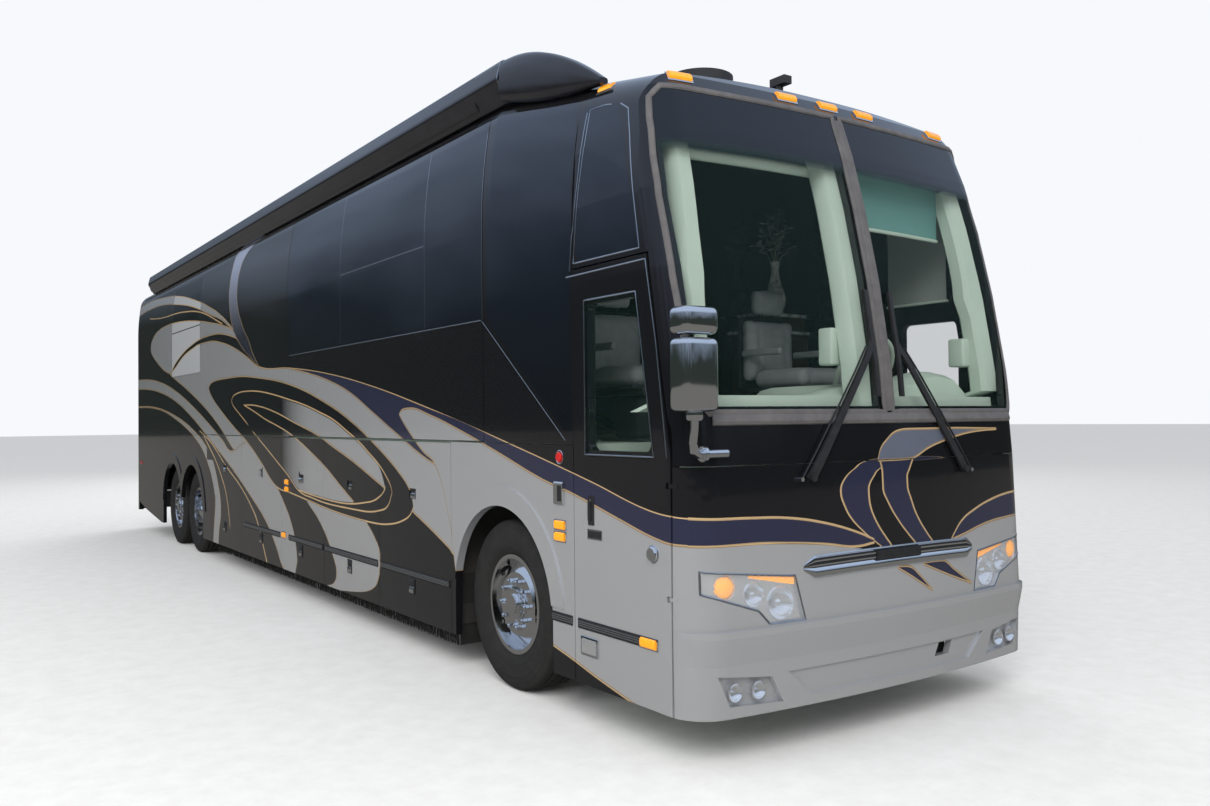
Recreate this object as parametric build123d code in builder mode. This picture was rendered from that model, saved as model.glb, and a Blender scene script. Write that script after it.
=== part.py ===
from build123d import *
import os
from functools import cache
from math import sqrt

os.makedirs("parts", exist_ok=True)

# Frame: +X is forward, +Y is the driver's side, +Z is up, the ground is z = 0, and the
# origin lies under the middle of the body. All sizes are in millimetres.

# Driving dimensions of the coach
overall_length = 13720
body_width = 2590
wheelbase = 8030
tag_spacing = 1140
front_overhang = 1933
skirt_z = 235
belt_z = 1490
sill_z = 2250
tumble_z = 2800
eave_z = 3550
wall_t = 55
panel_t = 45
door_t = 40
glass_t = 12
seam = 6
fit_gap = 0.3

half_length = overall_length / 2
half_width = body_width / 2
front_axle_x = half_length - front_overhang
drive_axle_x = front_axle_x - wheelbase
tag_axle_x = drive_axle_x - tag_spacing

# Cross-section of the body: upright side, lean above the windows, shoulder and crown
tumble_in = 58
lean_top_z = 3450
shoulder_run = 210
shoulder_rise = 195
crown_rise = 54
rear_corner_r = 180
section_foot_z = -600

# The roof falls towards the windscreen from this station
roof_fall_x = front_axle_x - 100
roof_fall = 0.18
cap_seam_x = front_axle_x + 823
rear_cap_x = -half_length + 260

# Nose: front arc and corner in plan, then the centre line that leans back with height.
# Columns: height, distance ahead of the front axle, half width
nose_arc_r = 9000
nose_corner_r = 200
nose_rows = [
    (200, 1912, half_width),
    (640, 1912, half_width),
    (1400, 1882, half_width),
    (1900, 1838, half_width),
    (2350, 1764, half_width),
    (2750, 1676, half_width - 6),
    (3050, 1594, half_width - 26),
    (3293, 1510, half_width - 58),
    (3369, 1452, half_width - 75),
    (3430, 1370, half_width - 100),
    (3490, 1230, half_width - 140),
    (3560, 980, half_width - 170),
]
bumper_top_z = 640
cowl_z = 1403
screen_z = 1645
screen_top_z = 3285
mask_edge_x = front_axle_x + 1661
nose_back_x = cap_seam_x - 500

# Construction shapes run this far past the body
overrun = 400
plan_height = 5000


@cache
def body_section(inset):
    """Cross-section of the straight body as a face on the YZ plane."""
    lean_top = (-half_width + tumble_in, lean_top_z)
    crown_edge = (lean_top[0] + shoulder_run, lean_top_z + shoulder_rise)
    with BuildSketch(Plane.YZ) as section:
        with BuildLine():
            side = Line((-half_width, section_foot_z), (-half_width, tumble_z))
            lean = TangentArc(side @ 1, lean_top, tangent=(0, 1))
            TangentArc(lean_top, crown_edge, tangent=lean % 1)
            mirror(about=Plane.YZ)
            ThreePointArc(crown_edge, (0, crown_edge[1] + crown_rise), (-crown_edge[0], crown_edge[1]))
            Line((-half_width, section_foot_z), (half_width, section_foot_z))
        make_face()
        if inset:
            offset(amount=-inset, kind=Kind.INTERSECTION, mode=Mode.REPLACE)
    return section.sketch


def straight_run(inset, start_x, end_x):
    """The body's section drawn along the floor, without its fall."""
    section = body_section(inset)
    with BuildPart() as run:
        add(section.moved(Location((start_x, 0, 0))))
        extrude(amount=end_x - start_x, dir=(1, 0, 0))
    return run.part


def falling_run(inset, end_x):
    """The body's section drawn forward and down, ahead of the station where the roof falls."""
    section = body_section(inset)
    length = (end_x - roof_fall_x) * sqrt(1 + roof_fall**2)
    with BuildPart() as run:
        add(section.moved(Location((roof_fall_x, 0, 0))))
        extrude(amount=length, dir=Vector(1, 0, -roof_fall).normalized())
    return run.part


def rear_plan(inset):
    """Plan of the body behind the nose, with its round rear corners."""
    rear_x = -half_length + inset
    with BuildPart() as plan:
        with BuildSketch(Plane.XY.offset(section_foot_z)):
            with Locations(((cap_seam_x + rear_x) / 2, 0)):
                Rectangle(cap_seam_x - rear_x, 2 * (half_width - inset))
        extrude(amount=plan_height)
        rear_edges = plan.edges().filter_by(Axis.Z).group_by(Axis.X)[0]
        fillet(rear_edges, radius=rear_corner_r - inset)
    return plan.part


@cache
def body_solid(inset):
    """Outer shape of the body behind the nose, shrunk by the inset all round."""
    rear_run = straight_run(inset, -half_length - overrun, roof_fall_x)
    front_run = falling_run(inset, cap_seam_x + overrun)
    with BuildPart() as body:
        add(rear_run)
        add(front_run)
        add(rear_plan(inset), mode=Mode.INTERSECT)
    return body.part


def nose_plan(height, front_x, half, corner_r):
    """One level of the nose in plan: sides, round corners and a shallow front arc."""
    arc_centre_x = front_x - nose_arc_r
    reach = nose_arc_r - corner_r
    corner_y = half - corner_r
    corner_run = sqrt(reach**2 - corner_y**2)
    corner_x = arc_centre_x + corner_run
    touch_x = arc_centre_x + corner_run * nose_arc_r / reach
    touch_y = corner_y * nose_arc_r / reach
    with BuildSketch(Plane.XY.offset(height)) as plan:
        with BuildLine():
            Line((nose_back_x, half), (nose_back_x, -half))
            Line((nose_back_x, -half), (corner_x, -half))
            TangentArc((corner_x, -half), (touch_x, -touch_y), tangent=(1, 0))
            front = ThreePointArc((touch_x, -touch_y), (front_x, 0), (touch_x, touch_y))
            TangentArc((touch_x, touch_y), (corner_x, half), tangent=front % 1)
            Line((corner_x, half), (nose_back_x, half))
        make_face()
    return plan.sketch


@cache
def nose_solid(inset):
    """Outer shape of the nose, shrunk by the inset all round."""
    levels = []
    for height, ahead, half in nose_rows:
        levels.append(nose_plan(height, front_axle_x + ahead - inset, half - inset, nose_corner_r - inset))
    roof_run = falling_run(inset, half_length + overrun)
    with BuildPart() as nose:
        loft(levels, ruled=True)
        split(bisect_by=Plane.YZ.offset(cap_seam_x), keep=Keep.TOP)
        add(roof_run, mode=Mode.INTERSECT)
    return nose.part


def side_prism(points, side, start_y=0, grow=0, corner_r=0):
    """Prism over an outline in the side view (x, z), from start_y out past one side."""
    with BuildPart() as prism:
        with BuildSketch(Plane.XZ.offset(-side * start_y)) as outline:
            with BuildLine():
                Polyline(*points, close=True)
            make_face()
            if grow:
                offset(amount=grow, kind=Kind.INTERSECTION, mode=Mode.REPLACE)
            if corner_r:
                fillet(outline.vertices(), radius=corner_r)
        extrude(amount=-side * (half_width + overrun - start_y))
    return prism.part


def front_prism(points, side, start_x, end_x, grow=0):
    """Prism over an outline in the front view (distance off centre, z), along X."""
    with BuildPart() as prism:
        with BuildSketch(Plane.YZ.offset(start_x)):
            with BuildLine():
                Polyline(*[(side * off, height) for off, height in points], close=True)
            make_face()
            if grow:
                offset(amount=grow, kind=Kind.INTERSECTION, mode=Mode.REPLACE)
        extrude(amount=end_x - start_x)
    return prism.part


def side_slab(points, side, thickness):
    """Flat panel of an outline in the side view, its outer face flush with the body's side."""
    with BuildPart() as slab:
        with BuildSketch(Plane.XZ.offset(-side * (half_width - thickness))):
            with BuildLine():
                Polyline(*points, close=True)
            make_face()
        extrude(amount=-side * thickness)
    return slab.part


def block(x_range, y_range, z_range):
    """Plain block between two limits along each axis."""
    middle = [(low + high) / 2 for low, high in (x_range, y_range, z_range)]
    spans = [high - low for low, high in (x_range, y_range, z_range)]
    with BuildPart() as made:
        with Locations(tuple(middle)):
            Box(*spans)
    return made.part


body_outer = body_solid(0)
body_inner = body_solid(wall_t)
nose_outer = nose_solid(0)
nose_inner = nose_solid(wall_t)
body_skin = body_outer - body_solid(glass_t)
nose_skin = nose_outer - nose_solid(glass_t)
sides = (("right", -1), ("left", 1))


# Openings in the side view: slide-outs, windows and the entry door
slide_rear_x = front_axle_x - 4100
slide_front_x = front_axle_x - 200
slide_foot_z = belt_z + 8
slide_top_z = 3500
slide_gap = 8
slide_depth = 650
slide_divides = [front_axle_x - 2700, front_axle_x - 1050]
glass_line = 12
glass_lap = 35
bed_window = [front_axle_x - 9170, front_axle_x - 7570, sill_z, 3420]
cab_glass_rear_x = front_axle_x - 140


def eave_at(x):
    """Height of the eave, which falls with the roof."""
    return eave_z - roof_fall * max(0, x - roof_fall_x)


def rectangle_points(rear_x, front_x, low_z, high_z):
    """Corners of an upright rectangle in the side view."""
    return [(rear_x, low_z), (front_x, low_z), (front_x, high_z), (rear_x, high_z)]


wall_outline = [
    (rear_cap_x, belt_z),
    (cap_seam_x, belt_z),
    (cap_seam_x, eave_at(cap_seam_x)),
    (roof_fall_x, eave_z),
    (rear_cap_x, eave_z),
]
slide_opening = rectangle_points(
    slide_rear_x - slide_gap, slide_front_x + slide_gap, belt_z - 100, slide_top_z + slide_gap
)
cab_glass_outline = [
    (cab_glass_rear_x, sill_z - 10),
    (cap_seam_x - 70, belt_z + 50),
    (cap_seam_x - 15, belt_z + 50),
    (cap_seam_x - 15, eave_at(cap_seam_x) - 35),
    (roof_fall_x, eave_z - 45),
    (cab_glass_rear_x, eave_z - 45),
]
bed_glass_outline = rectangle_points(*bed_window)
fixed_glass = [cab_glass_outline, bed_glass_outline]

# Side walls above the belt
for side_name, side in sides:
    with BuildPart() as side_wall:
        add(body_outer)
        add(body_inner, mode=Mode.SUBTRACT)
        add(side_prism(wall_outline, side), mode=Mode.INTERSECT)
        add(side_prism(slide_opening, side), mode=Mode.SUBTRACT)
        for outline in fixed_glass:
            add(body_skin & side_prism(outline, side), mode=Mode.SUBTRACT)
            add(side_prism(outline, side, grow=-glass_lap), mode=Mode.SUBTRACT)
    side_wall.part.label = f"{side_name}_wall"
    export_step(side_wall.part, f"parts/{side_name}_wall.step")

# Roof skin from the rear cap to the front cap, above the eaves
above_eave = [
    (rear_cap_x, eave_z),
    (roof_fall_x, eave_z),
    (cap_seam_x, eave_at(cap_seam_x)),
    (cap_seam_x, eave_z + overrun),
    (rear_cap_x, eave_z + overrun),
]
with BuildPart() as roof:
    add(body_outer)
    add(body_inner, mode=Mode.SUBTRACT)
    add(side_prism(above_eave, -1) + side_prism(above_eave, 1), mode=Mode.INTERSECT)
roof.part.label = "roof"
export_step(roof.part, "parts/roof.step")

# Nose openings: entry door, screens, quarter panes and the driver's window
door_rear_x = cap_seam_x + 3
door_front_x = mask_edge_x - 12
door_top_z = 2424
door_foot_z = skirt_z
door_slope_z = 1450
door_top_front_x = front_axle_x + 1484
door_outline = [
    (door_rear_x, door_foot_z),
    (door_front_x, door_foot_z),
    (door_front_x, door_slope_z),
    (door_top_front_x, door_top_z),
    (door_rear_x, door_top_z),
]
door_hole = [
    (cap_seam_x - 50, door_foot_z - 50),
    (mask_edge_x, door_foot_z - 50),
    (mask_edge_x, door_slope_z),
    (door_top_front_x + 12, door_top_z + 8),
    (cap_seam_x - 50, door_top_z + 8),
]
door_relief_depth = 20
door_relief = [
    (door_front_x - 16, door_slope_z),
    (mask_edge_x, door_slope_z),
    (mask_edge_x, door_slope_z + 50),
    (mask_edge_x - 8, door_slope_z + 130),
    (door_front_x - 26, door_slope_z + 190),
]
door_glass_outline = [
    (front_axle_x + 925, 1430),
    (front_axle_x + 1540, 1430),
    (front_axle_x + 1402, 2262),
    (front_axle_x + 925, 2262),
]
driver_glass_outline = [
    (front_axle_x + 925, 1560),
    (front_axle_x + 1518, 1560),
    (front_axle_x + 1402, 2262),
    (front_axle_x + 925, 2262),
]
quarter_glass_outline = [
    (cap_seam_x + 45, 2458),
    (front_axle_x + 1450, 2458),
    (front_axle_x + 1190, 3235),
    (cap_seam_x + 45, 3305),
]
screen_outline = [
    (front_axle_x + 1770, screen_z),
    (half_length + 300, screen_z),
    (half_length + 300, screen_top_z),
    (front_axle_x + 1375, screen_top_z),
    (front_axle_x + 1580, 2500),
]
post_half = 28
screen_light_back_x = front_axle_x + 1250
screen_light = [
    (post_half + glass_lap, screen_z + glass_lap),
    (1150, screen_z + glass_lap),
    (1205, 2100),
    (1218, 2700),
    (1195, 3050),
    (1155, screen_top_z - glass_lap),
    (post_half + glass_lap, screen_top_z - glass_lap),
]

with BuildPart() as front_cap:
    add(nose_outer)
    add(nose_inner, mode=Mode.SUBTRACT)
    add(block((cap_seam_x, half_length), (-half_width, half_width), (cowl_z, plan_height)),
        mode=Mode.INTERSECT)
    add(side_prism(door_hole, -1), mode=Mode.SUBTRACT)
    add(side_prism(door_relief, -1, start_y=half_width - door_relief_depth), mode=Mode.SUBTRACT)
    add(side_prism([(cap_seam_x - 50, cowl_z - 50), (mask_edge_x, cowl_z - 50),
                    (mask_edge_x, belt_z), (cap_seam_x - 50, belt_z)], 1), mode=Mode.SUBTRACT)
    for side_name, side in sides:
        add(nose_skin & side_prism(screen_outline, side, start_y=post_half), mode=Mode.SUBTRACT)
        add(side_prism(screen_outline, side, start_y=post_half + glass_lap, grow=-glass_lap),
            mode=Mode.SUBTRACT)
        add(nose_solid(glass_t) & front_prism(screen_light, side, screen_light_back_x, half_length),
            mode=Mode.SUBTRACT)
        add(nose_skin & side_prism(quarter_glass_outline, side, corner_r=40), mode=Mode.SUBTRACT)
        add(side_prism(quarter_glass_outline, side, grow=-glass_lap, corner_r=40), mode=Mode.SUBTRACT)
    add(nose_skin & side_prism(driver_glass_outline, 1, corner_r=60), mode=Mode.SUBTRACT)
    add(side_prism(driver_glass_outline, 1, grow=-glass_lap, corner_r=40), mode=Mode.SUBTRACT)
front_cap.part.label = "front_cap"
export_step(front_cap.part, "parts/front_cap.step")

# Windscreen in two panes, one each side of the centre post
with BuildPart() as windshields:
    for side_name, side in sides:
        add(nose_skin & side_prism(screen_outline, side, start_y=post_half + fit_gap, grow=-fit_gap))
windshields.part.label = "windshields"
export_step(windshields.part, "parts/windshields.step")

# Fixed panes of the walls and of the cap
with BuildPart() as side_windows:
    for side_name, side in sides:
        for outline in fixed_glass:
            add(body_skin & side_prism(outline, side, grow=-fit_gap))
        add(nose_skin & side_prism(quarter_glass_outline, side, grow=-fit_gap, corner_r=40))
    add(nose_skin & side_prism(driver_glass_outline, 1, grow=-fit_gap, corner_r=60))
side_windows.part.label = "side_windows"
export_step(side_windows.part, "parts/side_windows.step")

# Front mask below the cowl seam, with its headlamps let in at the corners
mask_t = 45
lamp_depth = 75
lamp_outline = [
    (655, 648),
    (880, 648),
    (945, 716),
    (1236, 812),
    (1236, 924),
    (712, 872),
]
wiper_pivot_y = 601
wiper_pivot_z = 1332
wiper_pivot_r = 20
hinge_x = door_front_x - 12
hinge_y = half_width - 12
hinge_pin_r = 6
hinge_heights = (780, 1310)
hinge_arm_z = 20
hinge_arm_t = 26
lamp_zone_x = front_axle_x + 1665

with BuildPart() as front_mask:
    add(nose_outer)
    add(nose_solid(mask_t), mode=Mode.SUBTRACT)
    add(block((mask_edge_x, half_length), (-half_width, half_width), (bumper_top_z, cowl_z - 4)),
        mode=Mode.INTERSECT)
    for side_name, side in sides:
        add(front_prism(lamp_outline, side, lamp_zone_x, half_length), mode=Mode.SUBTRACT)
        with Locations((half_length - 100, side * wiper_pivot_y, wiper_pivot_z)):
            Cylinder(wiper_pivot_r + fit_gap, 300, rotation=(0, 90, 0), mode=Mode.SUBTRACT)
    for height in hinge_heights:
        add(block((hinge_x - 9, mask_edge_x + 30), (-hinge_y - 6, -hinge_y + hinge_arm_t - 6),
                  (height - hinge_arm_z / 2, height + hinge_arm_z / 2)))
        with Locations((hinge_x, -hinge_y, height)):
            Cylinder(hinge_pin_r, 4 * hinge_arm_z)
front_mask.part.label = "front_mask"
export_step(front_mask.part, "parts/front_mask.step")

# Bumper: a deep shell below the mask, with lamp pockets, a shallow recess and a tow slot
# Columns: height, distance ahead of the front axle
bumper_rows = [
    (skirt_z, 1896),
    (480, 1905),
    (575, 1926),
    (610, front_overhang),
    (bumper_top_z, front_overhang),
]
bumper_wall = 50
fog_pocket_depth = 32
fog_pocket = [(1165, 436), (860, 404), (790, 276), (1100, 290)]
bumper_recess_depth = 12
bumper_recess = [(760, 415), (-760, 415), (-620, 287), (620, 287)]
tow_slot = [(350, 405), (470, 405), (440, 335), (315, 335)]
fog_lamp_places = [(1068, 352), (935, 349)]
fog_lamp_r = 44
fog_lamp_inset = 6


@cache
def bumper_solid(inset):
    """Outer shape of the bumper, shrunk by the inset all round."""
    levels = []
    for height, ahead in bumper_rows:
        levels.append(nose_plan(height, front_axle_x + ahead - inset, half_width - inset,
                                nose_corner_r - inset))
    with BuildPart() as bumper:
        loft(levels, ruled=True)
        split(bisect_by=Plane.YZ.offset(mask_edge_x), keep=Keep.TOP)
    return bumper.part


rail_y = (390, 470)
rail_z = (640, 760)
rail_front_x = half_length - 170
bracket_low_z = 430
bracket_front_x = half_length - 60
bumper_outer = bumper_solid(0)
bumper_pocket_floor = bumper_solid(fog_pocket_depth)
bumper_recess_floor = bumper_solid(bumper_recess_depth)
with BuildPart() as front_bumper:
    add(bumper_outer)
    add(bumper_solid(bumper_wall), mode=Mode.SUBTRACT)
    recess = front_prism(bumper_recess, 1, mask_edge_x + 40, half_length + 10)
    add(recess - bumper_recess_floor, mode=Mode.SUBTRACT)
    add(front_prism(tow_slot, 1, mask_edge_x + 40, half_length + 10), mode=Mode.SUBTRACT)
    for side_name, side in sides:
        pocket = front_prism(fog_pocket, side, mask_edge_x + 40, half_length + 10)
        add(pocket - bumper_pocket_floor, mode=Mode.SUBTRACT)
        bracket_y = sorted((side * rail_y[0], side * rail_y[1]))
        bracket = block((rail_front_x, bracket_front_x), bracket_y, (bracket_low_z, bumper_top_z - 20))
        add(bracket & bumper_outer)
front_bumper.part.label = "front_bumper"
export_step(front_bumper.part, "parts/front_bumper.step")

# Headlamp units at the corners, and the round fog lamps in the bumper's pockets
with BuildPart() as headlamps:
    for side_name, side in sides:
        add((nose_outer - nose_solid(lamp_depth))
            & front_prism(lamp_outline, side, lamp_zone_x + 10, half_length, grow=-fit_gap))
        for off, height in fog_lamp_places:
            with BuildPart(mode=Mode.PRIVATE) as fog_lamp:
                with Locations((half_length - 100, side * off, height)):
                    Cylinder(fog_lamp_r, 200, rotation=(0, 90, 0))
                add(bumper_solid(fog_lamp_inset), mode=Mode.INTERSECT)
                add(bumper_solid(fog_pocket_depth - fit_gap), mode=Mode.SUBTRACT)
            add(fog_lamp.part)
headlamps.part.label = "headlamps"
export_step(headlamps.part, "parts/headlamps.step")

# Lower side panels around the wheels, with open arches and a raised lip on each
bay_seams = [front_axle_x + ahead for ahead in (-7050, -5720, -4320, -3120, -1890, -660)]
hub_z = 512
front_arch_r = 600
rear_arch_r = 588
lip_width = 125
lip_height = 9
lip_root = 10
lip_margin = 4
front_lip_low_z = 600
rear_lip_low_z = 560
panel_top_z = belt_z - 4
departure = [(-half_length + 1900, skirt_z), (-half_length + 800, 344), (-half_length + 260, 430)]


def arch_lip(arch_x, arch_r, side, low_z, limits):
    """Raised lip around a wheel arch, standing proud of the side panel between two stations."""
    with BuildPart() as lip:
        with BuildSketch(Plane.XZ.offset(-side * (half_width - lip_root))):
            with Locations((arch_x, hub_z)):
                Circle(arch_r + lip_width)
                Circle(arch_r, mode=Mode.SUBTRACT)
            with BuildLine():
                Polyline((limits[0], low_z), (limits[1], low_z), (limits[1], belt_z), (limits[0], belt_z),
                         close=True)
            make_face(mode=Mode.INTERSECT)
        extrude(amount=-side * (lip_height + lip_root))
    return lip.part


def arch_hole(arch_x, arch_r, side):
    """Opening of a wheel arch through one side: round above the hub, upright below it."""
    with BuildPart() as hole:
        with BuildSketch(Plane.XZ.offset(-side * (half_width - 200))):
            with Locations((arch_x, hub_z)):
                Circle(arch_r)
            with Locations((arch_x, hub_z / 2)):
                Rectangle(2 * arch_r, hub_z)
        extrude(amount=-side * 300)
    return hole.part


def wheel_panel(points, side, arches, low_z):
    """Flat side panel cut by its wheel arches. Arches: (station, radius) pairs."""
    with BuildPart() as panel:
        add(side_slab(points, side, panel_t))
        stations = [point[0] for point in points]
        limits = (min(stations) + lip_margin, max(stations) - lip_margin)
        for arch_x, arch_r in arches:
            add(arch_lip(arch_x, arch_r, side, low_z, limits))
        for arch_x, arch_r in arches:
            add(arch_hole(arch_x, arch_r, side), mode=Mode.SUBTRACT)
    return panel.part


fender_rear_x = bay_seams[-1] + seam / 2
trim_height = 60
driver_zone = block((cap_seam_x, mask_edge_x - 3), (0, half_width), (skirt_z, panel_top_z + trim_height))
above_panel = block((cap_seam_x - seam, mask_edge_x), (-seam, half_width + seam),
                    (panel_top_z, panel_top_z + 2 * trim_height))
driver_panel = (nose_outer & driver_zone) - nose_solid(panel_t) - above_panel
with BuildPart() as front_fenders:
    right_outline = rectangle_points(fender_rear_x, cap_seam_x - 3, skirt_z, panel_top_z)
    left_outline = rectangle_points(fender_rear_x, cap_seam_x, skirt_z, panel_top_z)
    add(wheel_panel(right_outline, -1, [(front_axle_x, front_arch_r)], front_lip_low_z))
    add(wheel_panel(left_outline, 1, [(front_axle_x, front_arch_r)], front_lip_low_z))
    add(driver_panel)
front_fenders.part.label = "front_fenders"
export_step(front_fenders.part, "parts/front_fenders.step")

# Panels around the two rear axles, with their undersides rising towards the tail
rear_panel_outline = [
    (bay_seams[0] - seam / 2, skirt_z),
    (bay_seams[0] - seam / 2, panel_top_z),
    (rear_cap_x + 2, panel_top_z),
    (rear_cap_x + 2, departure[2][1]),
    departure[1],
    departure[0],
]
rear_arches = [(drive_axle_x, rear_arch_r), (tag_axle_x, rear_arch_r)]
with BuildPart() as rear_fenders:
    for side_name, side in sides:
        add(wheel_panel(rear_panel_outline, side, rear_arches, rear_lip_low_z))
rear_fenders.part.label = "rear_fenders"
export_step(rear_fenders.part, "parts/rear_fenders.step")

# Rear cap with the engine door's opening, and the door hinged along its top edge
cap_foot_z = 520
rear_bumper_low_z = 300
engine_hole_half = 1000
engine_hole_z = (560, 1560)
engine_door_gap = 8
engine_hinge_z = engine_hole_z[1] - engine_door_gap - 12
engine_hinge_x = -half_length + 12
engine_pin_r = 6
engine_pin_length = 45
tail_lamp_z = (900, 1440)
tail_lamp_y = (1045, 1135)
tail_lamp_depth = 60

with BuildPart() as rear_cap:
    add(body_outer)
    add(body_inner, mode=Mode.SUBTRACT)
    add(block((-half_length, rear_cap_x), (-half_width, half_width), (cap_foot_z, plan_height)),
        mode=Mode.INTERSECT)
    add(block((-half_length - 10, rear_cap_x - 80), (-engine_hole_half, engine_hole_half), engine_hole_z),
        mode=Mode.SUBTRACT)
    for side_name, side in sides:
        lamp_y = sorted((side * tail_lamp_y[0], side * tail_lamp_y[1]))
        add(block((-half_length - 10, rear_cap_x - 80), lamp_y, tail_lamp_z), mode=Mode.SUBTRACT)
        pin_y = side * (engine_hole_half - engine_pin_length / 2 + 2)
        with Locations((engine_hinge_x, pin_y, engine_hinge_z)):
            Cylinder(engine_pin_r, engine_pin_length + 4, rotation=(90, 0, 0))
rear_cap.part.label = "rear_cap"
export_step(rear_cap.part, "parts/rear_cap.step")

engine_door_half = engine_hole_half - engine_door_gap
with BuildPart() as engine_door:
    add(block((-half_length, -half_length + door_t), (-engine_door_half, engine_door_half),
              (engine_hole_z[0] + engine_door_gap, engine_hole_z[1] - engine_door_gap)))
    for side_name, side in sides:
        with Locations((engine_hinge_x, side * engine_door_half, engine_hinge_z)):
            Cylinder(engine_pin_r + fit_gap, 2 * engine_pin_length, rotation=(90, 0, 0), mode=Mode.SUBTRACT)
engine_door.part.label = "engine_door"
export_step(engine_door.part, "parts/engine_door.step")

with BuildPart() as rear_bumper:
    add(body_outer)
    add(body_inner, mode=Mode.SUBTRACT)
    add(block((-half_length, rear_cap_x), (-half_width, half_width), (rear_bumper_low_z, cap_foot_z)),
        mode=Mode.INTERSECT)
rear_bumper.part.label = "rear_bumper"
export_step(rear_bumper.part, "parts/rear_bumper.step")

with BuildPart() as tail_lamps:
    for side_name, side in sides:
        lamp_y = sorted((side * (tail_lamp_y[0] + fit_gap), side * (tail_lamp_y[1] - fit_gap)))
        low_z, high_z = tail_lamp_z
        lamp_third = (high_z - low_z) / 3
        for place in range(3):
            add(block((-half_length, -half_length + tail_lamp_depth), lamp_y,
                      (low_z + place * lamp_third + fit_gap, low_z + (place + 1) * lamp_third - fit_gap)))
tail_lamps.part.label = "tail_lamps"
export_step(tail_lamps.part, "parts/tail_lamps.step")

# Cabin floor with the entry steps, bay floor and the bulkheads between the bays
floor_z = (belt_z - 80, belt_z + 2)
floor_front_x = half_length - 180
well_rear_x = cap_seam_x + 40
well_front_x = mask_edge_x - 30
well_in_y = 650
step_rise = 250
step_first_z = 420
step_door_gap = 8
step_face_y = half_width - wall_t - step_door_gap
step_count = 4
stair_outline = [(step_face_y, step_first_z - 110), (step_face_y, step_first_z)]
for step in range(1, step_count):
    tread_edge_y = step_face_y - step * (step_face_y - well_in_y) / step_count
    stair_outline.append((tread_edge_y, step_first_z + (step - 1) * step_rise))
    stair_outline.append((tread_edge_y, step_first_z + step * step_rise))
stair_outline.append((well_in_y, step_first_z + (step_count - 1) * step_rise))
stair_outline.append((well_in_y, floor_z[1]))
stair_outline.append((well_in_y - 50, floor_z[1]))
stair_outline.append((well_in_y - 50, floor_z[0] - 250))
stair_outline.append((step_face_y - 200, step_first_z - 110))

with BuildPart() as cabin_floor:
    add(body_solid(wall_t + fit_gap))
    add(nose_solid(wall_t + fit_gap))
    add(block((rear_cap_x, floor_front_x), (-half_width, half_width), floor_z), mode=Mode.INTERSECT)
    add(block((well_rear_x, well_front_x), (-half_width, -well_in_y), (floor_z[0] - 10, floor_z[1] + 10)),
        mode=Mode.SUBTRACT)
    add(block((cap_seam_x - 1, mask_edge_x + 30), (-half_width, -step_face_y),
              (floor_z[0] - 10, floor_z[1] + 10)), mode=Mode.SUBTRACT)
    add(front_prism(stair_outline, -1, well_rear_x, well_front_x))
cabin_floor.part.label = "cabin_floor"
export_step(cabin_floor.part, "parts/cabin_floor.step")

bay_floor_z = (290, 330)
bulkhead_t = 30
bulkhead_reach = half_width - panel_t
bay_hinge_z = belt_z - 22
bay_hinge_y = half_width - 12
bay_pin_r = 5
bay_pin_length = 64
hanger_t = 3
bay_front_x = bay_seams[-1] + bulkhead_t / 2
bay_rear_x = bay_seams[0] - bulkhead_t / 2
with BuildPart() as bay_floor:
    add(block((bay_rear_x, bay_front_x), (-bulkhead_reach, bulkhead_reach), bay_floor_z))
bay_floor.part.label = "bay_floor"
export_step(bay_floor.part, "parts/bay_floor.step")

with BuildPart() as bay_bulkheads:
    for place, seam_x in enumerate(bay_seams):
        add(block((seam_x - bulkhead_t / 2, seam_x + bulkhead_t / 2), (-bulkhead_reach, bulkhead_reach),
                  (bay_floor_z[1], floor_z[0])))
        for side_name, side in sides:
            hanger_y = sorted((side * (bulkhead_reach - 10), side * (bay_hinge_y + 7)))
            add(block((seam_x - hanger_t / 2, seam_x + hanger_t / 2), hanger_y,
                      (floor_z[0] - 60, bay_hinge_z + 7)))
            pin_start = seam_x - (bay_pin_length / 2 if place > 0 else hanger_t / 2)
            pin_end = seam_x + (bay_pin_length / 2 if place < len(bay_seams) - 1 else hanger_t / 2)
            with Locations(((pin_start + pin_end) / 2, side * bay_hinge_y, bay_hinge_z)):
                Cylinder(bay_pin_r, pin_end - pin_start, rotation=(0, 90, 0))
bay_bulkheads.part.label = "bay_bulkheads"
export_step(bay_bulkheads.part, "parts/bay_bulkheads.step")

# Luggage bay doors, five a side, each hung on the pins at its top corners
bay_door_top_z = belt_z - 10
latch_z = (1075, 1150)
latch_half = 55
latch_depth = 14
for side_name, side in sides:
    for place in range(len(bay_seams) - 1):
        rear_x = bay_seams[place] + seam / 2
        front_x = bay_seams[place + 1] - seam / 2
        middle_x = (rear_x + front_x) / 2
        name = f"{side_name}_bay_door_{place + 1}"
        with BuildPart() as bay_door:
            add(side_slab(rectangle_points(rear_x, front_x, skirt_z, bay_door_top_z), side, door_t))
            add(side_prism(rectangle_points(middle_x - latch_half, middle_x + latch_half, *latch_z), side,
                           start_y=half_width - latch_depth), mode=Mode.SUBTRACT)
            for end_x in (rear_x, front_x):
                with Locations((end_x, side * bay_hinge_y, bay_hinge_z)):
                    Cylinder(bay_pin_r + fit_gap, bay_pin_length, rotation=(0, 90, 0), mode=Mode.SUBTRACT)
        bay_door.part.label = name
        export_step(bay_door.part, f"parts/{name}.step")

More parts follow.
